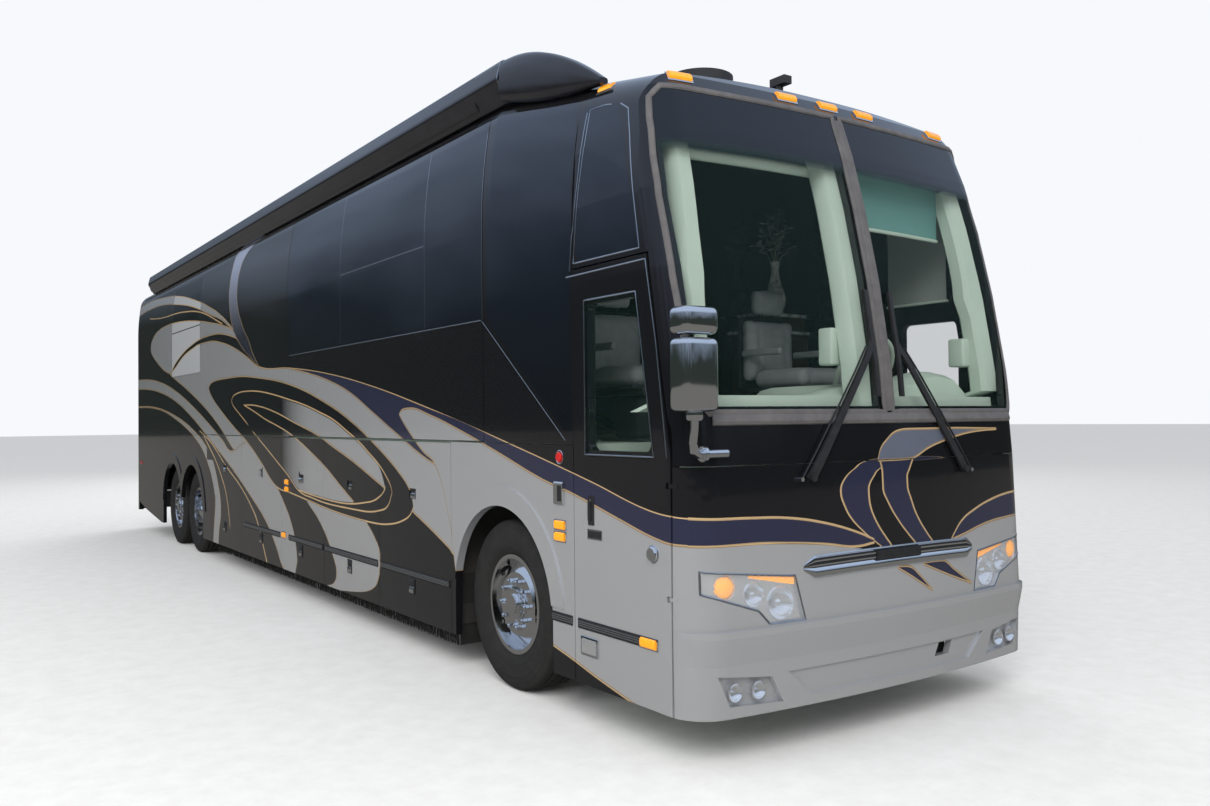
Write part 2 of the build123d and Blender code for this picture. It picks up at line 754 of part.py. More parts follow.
# Entry door, hinged at its front edge on the mask, and its pane
with BuildPart() as entry_door:
    add(nose_outer)
    add(nose_inner, mode=Mode.SUBTRACT)
    add(side_prism(door_outline, -1), mode=Mode.INTERSECT)
    add(nose_skin & side_prism(door_glass_outline, -1, corner_r=60), mode=Mode.SUBTRACT)
    add(side_prism(door_glass_outline, -1, grow=-glass_lap, corner_r=40), mode=Mode.SUBTRACT)
    for height in hinge_heights:
        add(block((hinge_x - 20, mask_edge_x), (-half_width - 5, -half_width + wall_t + 20),
                  (height - hinge_arm_z / 2 - 4, height + hinge_arm_z / 2 + 4)), mode=Mode.SUBTRACT)
        with Locations((hinge_x, -hinge_y, height)):
            Cylinder(hinge_pin_r + fit_gap, 4 * hinge_arm_z + 8, mode=Mode.SUBTRACT)
entry_door.part.label = "entry_door"
export_step(entry_door.part, "parts/entry_door.step")

with BuildPart() as entry_door_glass:
    add(nose_skin & side_prism(door_glass_outline, -1, grow=-fit_gap, corner_r=60))
entry_door_glass.part.label = "entry_door_glass"
export_step(entry_door_glass.part, "parts/entry_door_glass.step")

# Slide-out rooms: an outer wall flush with the body, two cheeks, a floor and a ceiling
cheek_t = 40
runner_w = 70
slide_in_y = half_width - slide_depth
slide_block = rectangle_points(slide_rear_x, slide_front_x, slide_foot_z, slide_top_z)
slide_room = rectangle_points(slide_rear_x + cheek_t, slide_front_x - cheek_t, slide_foot_z + cheek_t,
                              slide_top_z - cheek_t)
pane_edges = [slide_rear_x + 20] + slide_divides + [slide_front_x - 10]
runner_inset = 600


def slide_pane(rear_x, front_x):
    """Outline of one slide-out pane, with half a glazing line kept at each end."""
    return rectangle_points(rear_x + glass_line / 2, front_x - glass_line / 2, sill_z, slide_top_z - 12)


for side_name, side in sides:
    with BuildPart() as slideout:
        add(body_outer)
        add(side_prism(slide_block, side, start_y=slide_in_y), mode=Mode.INTERSECT)
        add(body_inner & side_prism(slide_room, side, start_y=slide_in_y - 20), mode=Mode.SUBTRACT)
        for rear_x, front_x in zip(pane_edges[:-1], pane_edges[1:]):
            pane = slide_pane(rear_x, front_x)
            add(body_skin & side_prism(pane, side), mode=Mode.SUBTRACT)
            add(side_prism(pane, side, start_y=half_width - 150, grow=-glass_lap), mode=Mode.SUBTRACT)
        for runner_x in (slide_rear_x + runner_inset, slide_front_x - runner_inset):
            runner_y = sorted((side * slide_in_y, side * (half_width - wall_t - 10)))
            add(block((runner_x - runner_w / 2, runner_x + runner_w / 2), runner_y,
                      (floor_z[1] + fit_gap, slide_foot_z + 1)))
    slideout.part.label = f"{side_name}_slideout"
    export_step(slideout.part, f"parts/{side_name}_slideout.step")
    with BuildPart() as slideout_glass:
        for rear_x, front_x in zip(pane_edges[:-1], pane_edges[1:]):
            pane = slide_pane(rear_x, front_x)
            add(body_skin & side_prism(pane, side, grow=-fit_gap))
    slideout_glass.part.label = f"{side_name}_slideout_glass"
    export_step(slideout_glass.part, f"parts/{side_name}_slideout_glass.step")

# Wheels: tyre and rim profiles in the wheel's own plane (outboard offset, radius)
tyre_r = hub_z
tyre_half = 157
tread_half = 122
bead_r = 286.3
bead_half = 113.7
flange_r = 300
flange_half = 126
barrel_r = 286
barrel_in_r = 274
wheel_y = half_width - 60 - tyre_half
dual_half = 171.5
spindle_r = 45
hand_hole_count = 10
hand_hole_r = 30
hand_hole_ring_r = 218
spindle_end = 100
# Tyre profile: half width, radius
tyre_profile = {
    "bead top": (bead_half, flange_r + 0.8),
    "lower wall": (140, 322),
    "bulge": (tyre_half, 400),
    "upper wall": (145, 468),
    "shoulder": (138, 496),
    "tread edge": (tread_half, tyre_r - 4),
}


def wheel_plane(axle_x, side, centre_y):
    """Plane through the wheel's axis: local x points outboard and local y points up."""
    return Plane(origin=(axle_x, side * centre_y, hub_z), x_dir=(0, side, 0), z_dir=(side, 0, 0))


def wheel_axis(axle_x):
    """The line that a wheel turns about."""
    return Axis((axle_x, 0, hub_z), (0, 1, 0))


def tyre_solid(axle_x, side, centre_y):
    """Tyre with upright beads, bulging sidewalls, round shoulders and a flat tread."""
    with BuildPart() as tyre:
        with BuildSketch(wheel_plane(axle_x, side, centre_y)):
            with BuildLine():
                Line((-bead_half, bead_r), (bead_half, bead_r))
                for way in (-1, 1):
                    at = {name: (way * half, radius) for name, (half, radius) in tyre_profile.items()}
                    Line((way * bead_half, bead_r), at["bead top"])
                    Line(at["bead top"], at["lower wall"])
                    ThreePointArc(at["lower wall"], at["bulge"], at["upper wall"])
                    ThreePointArc(at["upper wall"], at["shoulder"], at["tread edge"])
                tread_edge_r = tyre_profile["tread edge"][1]
                ThreePointArc((-tread_half, tread_edge_r), (0, tyre_r), (tread_half, tread_edge_r))
            make_face()
        revolve(axis=wheel_axis(axle_x))
    return tyre.part


def rim_solid(axle_x, side, centre_y, disc):
    """Rim: a barrel with two flanges, and a disc given by its section (offset, radius)."""
    with BuildPart() as rim:
        with BuildSketch(wheel_plane(axle_x, side, centre_y)):
            with BuildLine():
                Polyline((-flange_half, barrel_in_r), (flange_half, barrel_in_r), (flange_half, flange_r),
                         (flange_half - 12, flange_r), (flange_half - 12, barrel_r),
                         (12 - flange_half, barrel_r), (12 - flange_half, flange_r),
                         (-flange_half, flange_r), close=True)
            make_face()
            with BuildLine():
                Polyline(*disc, close=True)
            make_face()
        revolve(axis=wheel_axis(axle_x))
        with BuildSketch(wheel_plane(axle_x, side, centre_y).rotated((0, 90, 0))):
            with PolarLocations(hand_hole_ring_r, hand_hole_count):
                Circle(hand_hole_r)
        extrude(amount=300, both=True, mode=Mode.SUBTRACT)
    return rim.part


def turned_hub(axle_x, side, steps, bore_depth):
    """Hub turned from steps (inboard end, outboard end, radius), with a blind bore."""
    with BuildPart() as hub:
        for start, end, radius in steps:
            with Locations((axle_x, side * (start + end) / 2, hub_z)):
                Cylinder(radius, end - start, rotation=(90, 0, 0))
        bore_start = steps[0][0]
        with Locations((axle_x, side * (bore_start + bore_depth / 2), hub_z)):
            Cylinder(spindle_r + fit_gap, bore_depth, rotation=(90, 0, 0), mode=Mode.SUBTRACT)
    return hub.part


# Single wheels carry their disc outboard, the twins carry theirs back to back
single_disc = [(36, barrel_in_r + 2), (48, barrel_in_r + 2), (106, 190), (106, spindle_r + 20),
               (88, spindle_r + 20), (88, 186)]
twin_disc = [(-60, barrel_in_r + 2), (-72, barrel_in_r + 2), (-dual_half, 190), (-dual_half, spindle_r + 20),
             (18 - dual_half, spindle_r + 20), (18 - dual_half, 186)]
single_hub = [(wheel_y - 70, wheel_y + 112, 100), (wheel_y + 112, wheel_y + 128, 92),
              (wheel_y + 128, wheel_y + 148, 62)]
twin_mid_y = wheel_y - dual_half
twin_hub = [(twin_mid_y - 40, twin_mid_y + 170, 112), (twin_mid_y + 170, twin_mid_y + 186, 88)]
single_stations = {"front": front_axle_x, "tag": tag_axle_x}
for side_name, side in sides:
    for axle_name, axle_x in single_stations.items():
        with BuildPart() as tyre:
            add(tyre_solid(axle_x, side, wheel_y))
        tyre.part.label = f"{axle_name}_{side_name}_tyre"
        export_step(tyre.part, f"parts/{tyre.part.label}.step")
        with BuildPart() as rim:
            add(rim_solid(axle_x, side, wheel_y, single_disc))
            add(turned_hub(axle_x, side, single_hub, 70 + spindle_end + 4))
        rim.part.label = f"{axle_name}_{side_name}_rim"
        export_step(rim.part, f"parts/{rim.part.label}.step")
    with BuildPart() as twin_tyres:
        add(tyre_solid(drive_axle_x, side, wheel_y))
        add(tyre_solid(drive_axle_x, -side, -(wheel_y - 2 * dual_half)))
    twin_tyres.part.label = f"drive_{side_name}_tyres"
    export_step(twin_tyres.part, f"parts/{twin_tyres.part.label}.step")
    with BuildPart() as twin_rims:
        add(rim_solid(drive_axle_x, side, wheel_y, twin_disc))
        add(rim_solid(drive_axle_x, -side, -(wheel_y - 2 * dual_half), twin_disc))
        add(turned_hub(drive_axle_x, side, twin_hub, 40 + 150))
    twin_rims.part.label = f"drive_{side_name}_rims"
    export_step(twin_rims.part, f"parts/{twin_rims.part.label}.step")

# Front axle beam with kingpins, and the steering knuckles that turn on them
kingpin_y = 880
kingpin_r = 25
boss_r = 55
boss_z = (440, 584)
lug_t = 34
lug_r = 50
pin_gap = 6
beam_z = (446, 546)
airbag_r = 105
knuckle_face_y = kingpin_y + 62
knuckle_web = 26
with BuildPart() as front_axle:
    add(block((front_axle_x - 50, front_axle_x + 50), (-kingpin_y, kingpin_y), beam_z))
    for side_name, side in sides:
        with Locations((front_axle_x, side * kingpin_y, (boss_z[0] + boss_z[1]) / 2)):
            Cylinder(boss_r, boss_z[1] - boss_z[0])
            Cylinder(kingpin_r, boss_z[1] - boss_z[0] + 2 * (pin_gap + lug_t) + 8)
        with Locations((front_axle_x, side * (rail_y[0] + rail_y[1]) / 2, (beam_z[1] + rail_z[0]) / 2)):
            Cylinder(airbag_r, rail_z[0] - beam_z[1])
front_axle.part.label = "front_axle"
export_step(front_axle.part, "parts/front_axle.step")

for side_name, side in sides:
    with BuildPart() as knuckle:
        web_y = sorted((side * knuckle_face_y, side * (knuckle_face_y + knuckle_web)))
        low_lug_z = boss_z[0] - pin_gap - lug_t
        high_lug_z = boss_z[1] + pin_gap
        add(block((front_axle_x - 70, front_axle_x + 70), web_y, (low_lug_z, high_lug_z + lug_t)))
        for lug_z in (low_lug_z, high_lug_z):
            lug_y = sorted((side * kingpin_y, side * knuckle_face_y))
            add(block((front_axle_x - lug_r, front_axle_x + lug_r), lug_y, (lug_z, lug_z + lug_t)))
            with Locations((front_axle_x, side * kingpin_y, lug_z + lug_t / 2)):
                Cylinder(lug_r, lug_t)
                Cylinder(kingpin_r + fit_gap, 2 * lug_t, mode=Mode.SUBTRACT)
        spindle_start = knuckle_face_y + knuckle_web
        with Locations((front_axle_x, side * (spindle_start + wheel_y + spindle_end) / 2, hub_z)):
            Cylinder(spindle_r, wheel_y + spindle_end - spindle_start, rotation=(90, 0, 0))
    knuckle.part.label = f"{side_name}_knuckle"
    export_step(knuckle.part, f"parts/{knuckle.part.label}.step")

# Drive and tag axles with their air springs and the propeller shaft to the engine
engine_x = (-half_length + 360, -half_length + 1560)
engine_half = 445
engine_top_z = 1380
axle_tube_r = 75
shaft_r = 48
shaft_engine_z = 820
diff_r = 170
twin_spindle_end = 140
saddle_top_z = 600
with BuildPart() as rear_axles:
    for axle_x, tube_end, spindle_reach in ((drive_axle_x, twin_mid_y - 50, twin_mid_y + twin_spindle_end),
                                            (tag_axle_x, wheel_y - 90, wheel_y + spindle_end)):
        with Locations((axle_x, 0, hub_z)):
            Cylinder(axle_tube_r, 2 * tube_end, rotation=(90, 0, 0))
            Cylinder(spindle_r, 2 * spindle_reach, rotation=(90, 0, 0))
        for side_name, side in sides:
            saddle_y = sorted((side * (rail_y[0] - 20), side * (rail_y[1] + 20)))
            add(block((axle_x - 80, axle_x + 80), saddle_y, (hub_z, saddle_top_z)))
            with Locations((axle_x, side * (rail_y[0] + rail_y[1]) / 2, (saddle_top_z + rail_z[0]) / 2)):
                Cylinder(airbag_r, rail_z[0] - saddle_top_z)
    with Locations((drive_axle_x, 0, hub_z)):
        Sphere(diff_r)
    shaft_run = Vector(engine_x[1], 0, shaft_engine_z) - Vector(drive_axle_x, 0, hub_z)
    with BuildSketch(Plane(origin=(drive_axle_x, 0, hub_z), z_dir=shaft_run)):
        Circle(shaft_r)
    extrude(amount=shaft_run.length + shaft_r)
    add(block((engine_x[0], engine_x[1] + fit_gap), (-engine_half, engine_half), (rail_z[1], engine_top_z)),
        mode=Mode.SUBTRACT)
rear_axles.part.label = "rear_axles"
export_step(rear_axles.part, "parts/rear_axles.step")

# Frame rails ahead of the bays and behind them, with the hitch receiver under the tail
rear_rail_x = (-half_length + 200, bay_rear_x)
front_rail_x = (bay_front_x, rail_front_x)
cross_member_w = 70
hitch_socket = 50.8
hitch_wall = 6.35
hitch_z = 262
hitch_x = (-half_length + 10, -half_length + 510)
hitch_pin_r = 8.25
hitch_pin_x = hitch_x[0] + 60
hitch_outer = hitch_socket / 2 + hitch_wall
hitch_beam_x = (hitch_x[1] - 70, hitch_x[1])
with BuildPart() as chassis_frame:
    for start_x, end_x in (rear_rail_x, front_rail_x):
        for side_name, side in sides:
            add(block((start_x, end_x), sorted((side * rail_y[0], side * rail_y[1])), rail_z))
    for member_x in (front_axle_x - 500, front_axle_x + 500, rail_front_x - cross_member_w,
                     drive_axle_x + 560, rear_rail_x[0] + cross_member_w / 2):
        add(block((member_x - cross_member_w / 2, member_x + cross_member_w / 2), (-rail_y[0], rail_y[0]),
                  rail_z))
    for side_name, side in sides:
        add(block((rail_front_x - 12, rail_front_x), sorted((side * rail_y[0], side * rail_y[1])),
                  (bracket_low_z, rail_z[1])))
        add(block(hitch_beam_x, sorted((side * rail_y[0], side * rail_y[1])), (hitch_z, rail_z[1])))
    add(block(hitch_x, (-hitch_outer, hitch_outer), (hitch_z - hitch_outer, hitch_z + hitch_outer)))
    add(block(hitch_beam_x, (-rail_y[1], rail_y[1]), (hitch_z - hitch_outer, hitch_z + hitch_outer)))
    add(block((hitch_x[0] - 10, hitch_beam_x[0] - 20), (-hitch_socket / 2, hitch_socket / 2),
              (hitch_z - hitch_socket / 2, hitch_z + hitch_socket / 2)), mode=Mode.SUBTRACT)
    with Locations((hitch_pin_x, 0, hitch_z)):
        Cylinder(hitch_pin_r, 4 * hitch_outer, rotation=(90, 0, 0), mode=Mode.SUBTRACT)
chassis_frame.part.label = "chassis_frame"
export_step(chassis_frame.part, "parts/chassis_frame.step")

with BuildPart() as engine:
    add(block(engine_x, (-engine_half, engine_half), (rail_z[1], engine_top_z)))
engine.part.label = "engine"
export_step(engine.part, "parts/engine.step")

# Mirrors: a tall head with a smaller one above it, on an arm from the cowl corner. The one
# on the driver's side is folded back along the side
# Columns: side, distance ahead of the front axle, distance out, foot height
mirror_heads = [
    (-1, (1780, 1915), (1204, 1409), 1440),
    (1, (1320, 1525), (1312, 1409), 1500),
]
mirror_low_z = (1655, 1990)
mirror_high_z = (2000, 2130)
mirror_arm_r = 22
mirror_arm_w = 70
nose_clear = nose_solid(-fit_gap)
with BuildPart() as side_mirrors:
    for side, head_ahead, head_out, foot_z in mirror_heads:
        head_mid_x = front_axle_x + sum(head_ahead) / 2
        head_mid_y = side * sum(head_out) / 2
        for head_z in (mirror_low_z, mirror_high_z):
            with Locations((head_mid_x, head_mid_y, sum(head_z) / 2)):
                Box(head_ahead[1] - head_ahead[0], head_out[1] - head_out[0], head_z[1] - head_z[0])
        arm_top_z = mirror_high_z[0] + 5
        with Locations((head_mid_x, head_mid_y, (foot_z + arm_top_z) / 2)):
            Cylinder(mirror_arm_r, arm_top_z - foot_z)
        arm_y = sorted((side * (half_width - 230), head_mid_y + side * 12))
        with Locations((head_mid_x - 20, sum(arm_y) / 2, foot_z + mirror_arm_r)):
            Box(mirror_arm_w, arm_y[1] - arm_y[0], 2 * mirror_arm_r)
    add(nose_clear, mode=Mode.SUBTRACT)
side_mirrors.part.label = "side_mirrors"
export_step(side_mirrors.part, "parts/side_mirrors.step")

# Wipers: a spindle through the mask, a long arm that leans inwards and an upright blade
wiper_tip = (95, 2010)
wiper_blade_z = (1730, 2290)
wiper_blade_w = 26
wiper_arm_w = 30
wiper_stand = 26
wiper_t = 16
with BuildPart() as wipers:
    for side_name, side in sides:
        arm_outline = [(wiper_pivot_y - wiper_arm_w, wiper_pivot_z),
                       (wiper_pivot_y + wiper_arm_w, wiper_pivot_z),
                       (wiper_tip[0] + 12, wiper_tip[1] + 10),
                       (wiper_tip[0] - 12, wiper_tip[1] - 10)]
        blade_outline = [(wiper_tip[0] - wiper_blade_w / 2, wiper_blade_z[0]),
                         (wiper_tip[0] + wiper_blade_w / 2, wiper_blade_z[0]),
                         (wiper_tip[0] + wiper_blade_w / 2, wiper_blade_z[1]),
                         (wiper_tip[0] - wiper_blade_w / 2, wiper_blade_z[1])]
        swept = front_prism(arm_outline, side, half_length - overrun, half_length)
        swept = swept + front_prism(blade_outline, side, half_length - overrun, half_length)
        add(swept & (nose_solid(-wiper_stand) - nose_solid(wiper_t - wiper_stand)))
        with Locations((half_length - 70, side * wiper_pivot_y, wiper_pivot_z)):
            Cylinder(wiper_pivot_r, 80, rotation=(0, 90, 0))
wipers.part.label = "wipers"
export_step(wipers.part, "parts/wipers.step")

# Awning cases along both roof edges, each with a nose that falls with the roof
awning_rear_x = front_axle_x - 10850
awning_front_x = front_axle_x
awning_section = [
    (1288, 3700),
    (1262, 3812),
    (1190, 3826),
    (1118, 3800),
    (1100, 3700),
    (1100, 3560),
    (1215, 3560),
]
awning_nose_points = [
    (awning_front_x, 3500),
    (awning_front_x, 3818),
    (awning_front_x + 260, 3770),
    (awning_front_x + 1000, 3475),
    (awning_front_x + 1000, 3380),
]
awning_nose_y = (1120, 1280)
body_clear = body_solid(-fit_gap)
with BuildPart() as roof_awnings:
    for side_name, side in sides:
        add(front_prism(awning_section, side, awning_rear_x, awning_front_x))
        add(side_prism(awning_nose_points, side, start_y=awning_nose_y[0])
            - side_prism(awning_nose_points, side, start_y=awning_nose_y[1], grow=1))
    add(body_clear, mode=Mode.SUBTRACT)
    add(nose_clear, mode=Mode.SUBTRACT)
roof_awnings.part.label = "roof_awnings"
export_step(roof_awnings.part, "parts/roof_awnings.step")

# Roof units: two air conditioners, a low round dome and a small horn near the brow
cooler_stations = (front_axle_x - 8200, front_axle_x - 4600)
cooler_size = (980, 760, 132)
cooler_foot_z = 3690
dome_place = (front_axle_x + 880, -430)
dome_r = 190
dome_z = (3480, 3640)
horn_place = (front_axle_x + 1130, -40)
horn_stalk_r = 22
horn_stalk_z = (3425, 3575)
horn_size = (120, 60, 46)
cooler_root_z = 3560
cooler_corner_r = 110
dome_root_drop = 40
with BuildPart() as roof_units:
    for cooler_x in cooler_stations:
        with BuildSketch(Plane.XY.offset(cooler_root_z)):
            with Locations((cooler_x, 0)):
                RectangleRounded(cooler_size[0], cooler_size[1], cooler_corner_r)
        extrude(amount=cooler_foot_z + cooler_size[2] - cooler_root_z, taper=4)
    with Locations((dome_place[0], dome_place[1], (dome_z[0] + dome_z[1] - dome_root_drop) / 2)):
        Cylinder(dome_r, dome_z[1] - dome_z[0] - dome_root_drop)
    with Locations((horn_place[0], horn_place[1], (horn_stalk_z[0] + horn_stalk_z[1]) / 2)):
        Cylinder(horn_stalk_r, horn_stalk_z[1] - horn_stalk_z[0])
    with Locations((horn_place[0] + 10, horn_place[1], horn_stalk_z[1] + 5)):
        Box(*horn_size)
    add(body_clear, mode=Mode.SUBTRACT)
    add(nose_clear, mode=Mode.SUBTRACT)
roof_units.part.label = "roof_units"
export_step(roof_units.part, "parts/roof_units.step")

# Dashboard with the steering column and wheel
dash_x = (front_axle_x + 1330, half_length - 90)
dash_top_z = 1735
dash_half = 1130
wheel_hub = (front_axle_x + 1170, 610, 1905)
steering_wheel_r = 225
steering_rim_r = 16
steering_tilt = 60
dash_inset = wall_t + 35
dash_toe = (90, 120)
column_r = 32
column_foot = Vector(dash_x[0] + 80, wheel_hub[1], dash_top_z - 90)
column_run = Vector(*wheel_hub) - column_foot
with BuildPart() as dashboard:
    add(nose_solid(dash_inset))
    add(block(dash_x, (-dash_half, dash_half), (floor_z[1], dash_top_z)), mode=Mode.INTERSECT)
    add(block((dash_x[0] - 1, dash_x[0] + dash_toe[0]), (-dash_half, dash_half),
              (floor_z[1] - 1, floor_z[1] + dash_toe[1])), mode=Mode.SUBTRACT)
    with BuildSketch(Plane(origin=column_foot, z_dir=column_run)):
        Circle(column_r)
    extrude(amount=column_run.length + 12)
    with Locations(Location(wheel_hub, (0, -steering_tilt, 0))):
        Torus(steering_wheel_r, steering_rim_r)
        Box(2 * steering_wheel_r - 8, 42, 16)
dashboard.part.label = "dashboard"
export_step(dashboard.part, "parts/dashboard.step")

# Cab seats on their pedestals: the driver's on the left, the mate's behind the steps
seat_places = [(front_axle_x + 640, 610), (front_axle_x + 520, -610)]
seat_half = 260
seat_cushion_z = (1800, 1950)
seat_back_top_z = 2560
pedestal_half = (150, 130)
with BuildPart() as cab_seats:
    for seat_x, seat_y in seat_places:
        seat_y_range = (seat_y - seat_half, seat_y + seat_half)
        add(block((seat_x - pedestal_half[0], seat_x + pedestal_half[0]),
                  (seat_y - pedestal_half[1], seat_y + pedestal_half[1]), (floor_z[1], seat_cushion_z[0])))
        add(block((seat_x - 270, seat_x + 260), seat_y_range, seat_cushion_z))
        add(block((seat_x - 380, seat_x - 250), seat_y_range, (seat_cushion_z[0], seat_back_top_z)))
cab_seats.part.label = "cab_seats"
export_step(cab_seats.part, "parts/cab_seats.step")

# Low cabinets against both walls behind the cab seats
cabinet_x = (slide_front_x + 60, slide_front_x + 310)
cabinet_y = (700, half_width - wall_t - 10)
cabinet_top_z = 2230
with BuildPart() as cabinets:
    for side_name, side in sides:
        add(block(cabinet_x, sorted((side * cabinet_y[0], side * cabinet_y[1])), (floor_z[1], cabinet_top_z)))
cabinets.part.label = "cabinets"
export_step(cabinets.part, "parts/cabinets.step")
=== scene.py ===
import math
import bpy
import bmesh
from mathutils import Matrix, Vector
from mathutils.bvhtree import BVHTree


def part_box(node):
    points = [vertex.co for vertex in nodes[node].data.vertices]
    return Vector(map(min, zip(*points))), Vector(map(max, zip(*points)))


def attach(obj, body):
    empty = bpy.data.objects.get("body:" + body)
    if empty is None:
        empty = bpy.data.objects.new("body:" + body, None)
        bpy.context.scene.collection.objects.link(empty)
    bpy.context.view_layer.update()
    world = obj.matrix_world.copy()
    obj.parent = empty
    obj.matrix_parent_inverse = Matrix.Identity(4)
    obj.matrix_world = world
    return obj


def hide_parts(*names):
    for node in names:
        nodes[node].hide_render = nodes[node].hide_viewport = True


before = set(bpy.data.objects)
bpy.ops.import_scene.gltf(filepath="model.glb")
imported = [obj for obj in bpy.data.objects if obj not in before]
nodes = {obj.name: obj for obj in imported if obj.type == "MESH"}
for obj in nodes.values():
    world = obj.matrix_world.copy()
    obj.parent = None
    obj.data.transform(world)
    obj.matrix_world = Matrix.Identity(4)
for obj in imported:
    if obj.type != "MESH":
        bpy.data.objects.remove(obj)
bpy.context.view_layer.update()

# The yard: a plain pale floor, soft light from wide lamps, and the camera where the
# photograph was taken, low beside the front corner. Lengths are metres from here on.


def placed(name, data):
    """Adds an object to the scene."""
    made = bpy.data.objects.new(name, data)
    bpy.context.scene.collection.objects.link(made)
    return made


camera_place = Vector((10.2637, -4.2093, 1.6280))
camera_right = Vector((0.56870, 0.82249, -0.01003))
camera_up = Vector((0.01858, -0.00066, 0.99983))
camera_ahead = Vector((-0.82234, 0.56879, 0.01566))
camera_data = bpy.data.cameras.new("yard_camera")
camera_data.lens = 29.89
camera_data.sensor_width = 36.0
camera_data.sensor_fit = "HORIZONTAL"
camera_data.clip_end = 400.0
camera = placed("yard_camera", camera_data)
turn = Matrix((camera_right, camera_up, -camera_ahead)).transposed().to_4x4()
camera.matrix_world = Matrix.Translation(camera_place) @ turn
bpy.context.scene.camera = camera
bpy.context.scene.view_settings.view_transform = "Standard"


class Wire:
    """A shader socket that sums, products and comparisons can be written with."""

    def __init__(self, tree, socket=None):
        self.tree = tree
        self.socket = socket

    def node(self, kind, settings=None, inputs=None, output=0):
        """Adds any node: its settings first, then the values or links of its sockets."""
        made = self.tree.nodes.new(kind)
        for name, value in (settings or {}).items():
            if name == "stops":
                ramp = made.color_ramp
                while len(ramp.elements) < len(value):
                    ramp.elements.new(0.5)
                for stop, (place, colour) in zip(ramp.elements, value):
                    stop.position = place
                    stop.color = (*colour, 1)
            elif name == "curve":
                curve = made.mapping.curves[0]
                while len(curve.points) < len(value):
                    curve.points.new(0.5, 0.5)
                for point, place in zip(curve.points, value):
                    point.location = place
                    point.handle_type = "AUTO_CLAMPED"
                made.mapping.update()
            else:
                setattr(made, name, value)
        for place, value in (inputs or {}).items():
            if isinstance(value, Wire):
                self.tree.links.new(value.socket, made.inputs[place])
            else:
                made.inputs[place].default_value = value
        return Wire(self.tree, made.outputs[output])

    def sum(self, operation, first, second=0.0):
        return self.node("ShaderNodeMath", {"operation": operation}, {0: first, 1: second})

    def __add__(self, other):
        return self.sum("ADD", self, other)

    def __sub__(self, other):
        return self.sum("SUBTRACT", self, other)

    def __mul__(self, other):
        return self.sum("MULTIPLY", self, other)

    def __lt__(self, other):
        return self.sum("LESS_THAN", self, other)

    def __gt__(self, other):
        return self.sum("GREATER_THAN", self, other)

    def __abs__(self):
        return self.sum("ABSOLUTE", self)

    def most(self, other):
        return self.sum("MAXIMUM", self, other)

    def mixed(self, colour, other):
        """The first colour where this is 0 and the other where it is 1."""
        ends = [end if isinstance(end, Wire) else (*end, 1) for end in (colour, other)]
        return self.node("ShaderNodeMix", {"data_type": "RGBA"}, {0: self, 6: ends[0], 7: ends[1]}, 2)

    def blended(self, value, other):
        """The first value where this is 0 and the other where it is 1."""
        return self.node("ShaderNodeMix", {"data_type": "FLOAT"}, {0: self, 2: value, 3: other})

    def ranged(self, low, high, start=0.0, end=1.0):
        """A value that runs from start to end while this one runs from low to high."""
        return self.node("ShaderNodeMapRange", inputs={0: self, 1: low, 2: high, 3: start, 4: end})


class Finish:
    """A material with its Principled shader; constants are set on the shader's own sockets."""

    def __init__(self, name, **constants):
        self.material = bpy.data.materials.new(name)
        self.material.use_nodes = True
        self.tree = self.material.node_tree
        self.shader = self.tree.nodes["Principled BSDF"]
        for socket, value in constants.items():
            self.shader.inputs[socket.replace("_", " ")].default_value = value
        self.wire = Wire(self.tree)
        self.place = self.wire.node("ShaderNodeTexCoord", output=3)

    def axes(self):
        """Object coordinates as three values."""
        split = self.wire.node("ShaderNodeSeparateXYZ", inputs={0: self.place})
        made = split.socket.node
        return [Wire(self.tree, made.outputs[axis]) for axis in range(3)]

    def noise(self, scale, detail=3.0, rough=0.5):
        inputs = {"Vector": self.place, "Scale": scale, "Detail": detail, "Roughness": rough}
        return self.wire.node("ShaderNodeTexNoise", inputs=inputs)

    def bands(self, way, scale, distortion, detail=2.0):
        inputs = {"Vector": self.place, "Scale": scale, "Distortion": distortion, "Detail": detail}
        return self.wire.node("ShaderNodeTexWave", {"bands_direction": way}, inputs)

    def cells(self, scale):
        return self.wire.node("ShaderNodeTexVoronoi", inputs={"Vector": self.place, "Scale": scale})

    def worn(self, low, high, scale, detail=3.0, rough=0.5, gloss=None):
        """Base colour between two tones by noise, which is returned. Gloss is how far the
        roughness follows it, and its least value."""
        wear = self.noise(scale, detail, rough)
        self.feed("Base Color", wear.mixed(low, high))
        if gloss:
            self.feed("Roughness", wear * gloss[0] + gloss[1])
        return wear

    def feed(self, socket, value):
        self.tree.links.new(value.socket, self.shader.inputs[socket])

    def bump(self, height, strength, distance):
        """Bump from a height, on the Normal socket."""
        inputs = {"Strength": strength, "Distance": distance, "Height": height}
        self.feed("Normal", self.wire.node("ShaderNodeBump", inputs=inputs))


def dress(finish, *names):
    """Gives CAD nodes a finish, on every slot that they have."""
    for name in names:
        slots = nodes[name].material_slots
        for slot in slots:
            slot.link = "OBJECT"
            slot.material = finish.material
        if not slots:
            nodes[name].data.materials.append(finish.material)


def solid(name, bm, finish, body="coach_body", open_shell=False):
    """Turns mesh work into a finished piece that rides on a body."""
    if not open_shell:
        bmesh.ops.remove_doubles(bm, verts=bm.verts, dist=0.00005)
        bmesh.ops.recalc_face_normals(bm, faces=bm.faces)
    mesh = bpy.data.meshes.new(name)
    bm.to_mesh(mesh)
    bm.free()
    piece = placed(name, mesh)
    for one in (finish if isinstance(finish, list) else [finish]):
        mesh.materials.append(one.material)
    mesh.shade_smooth()
    mesh.set_sharp_from_angle(angle=math.radians(35 if open_shell else 32))
    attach(piece, body)
    return piece


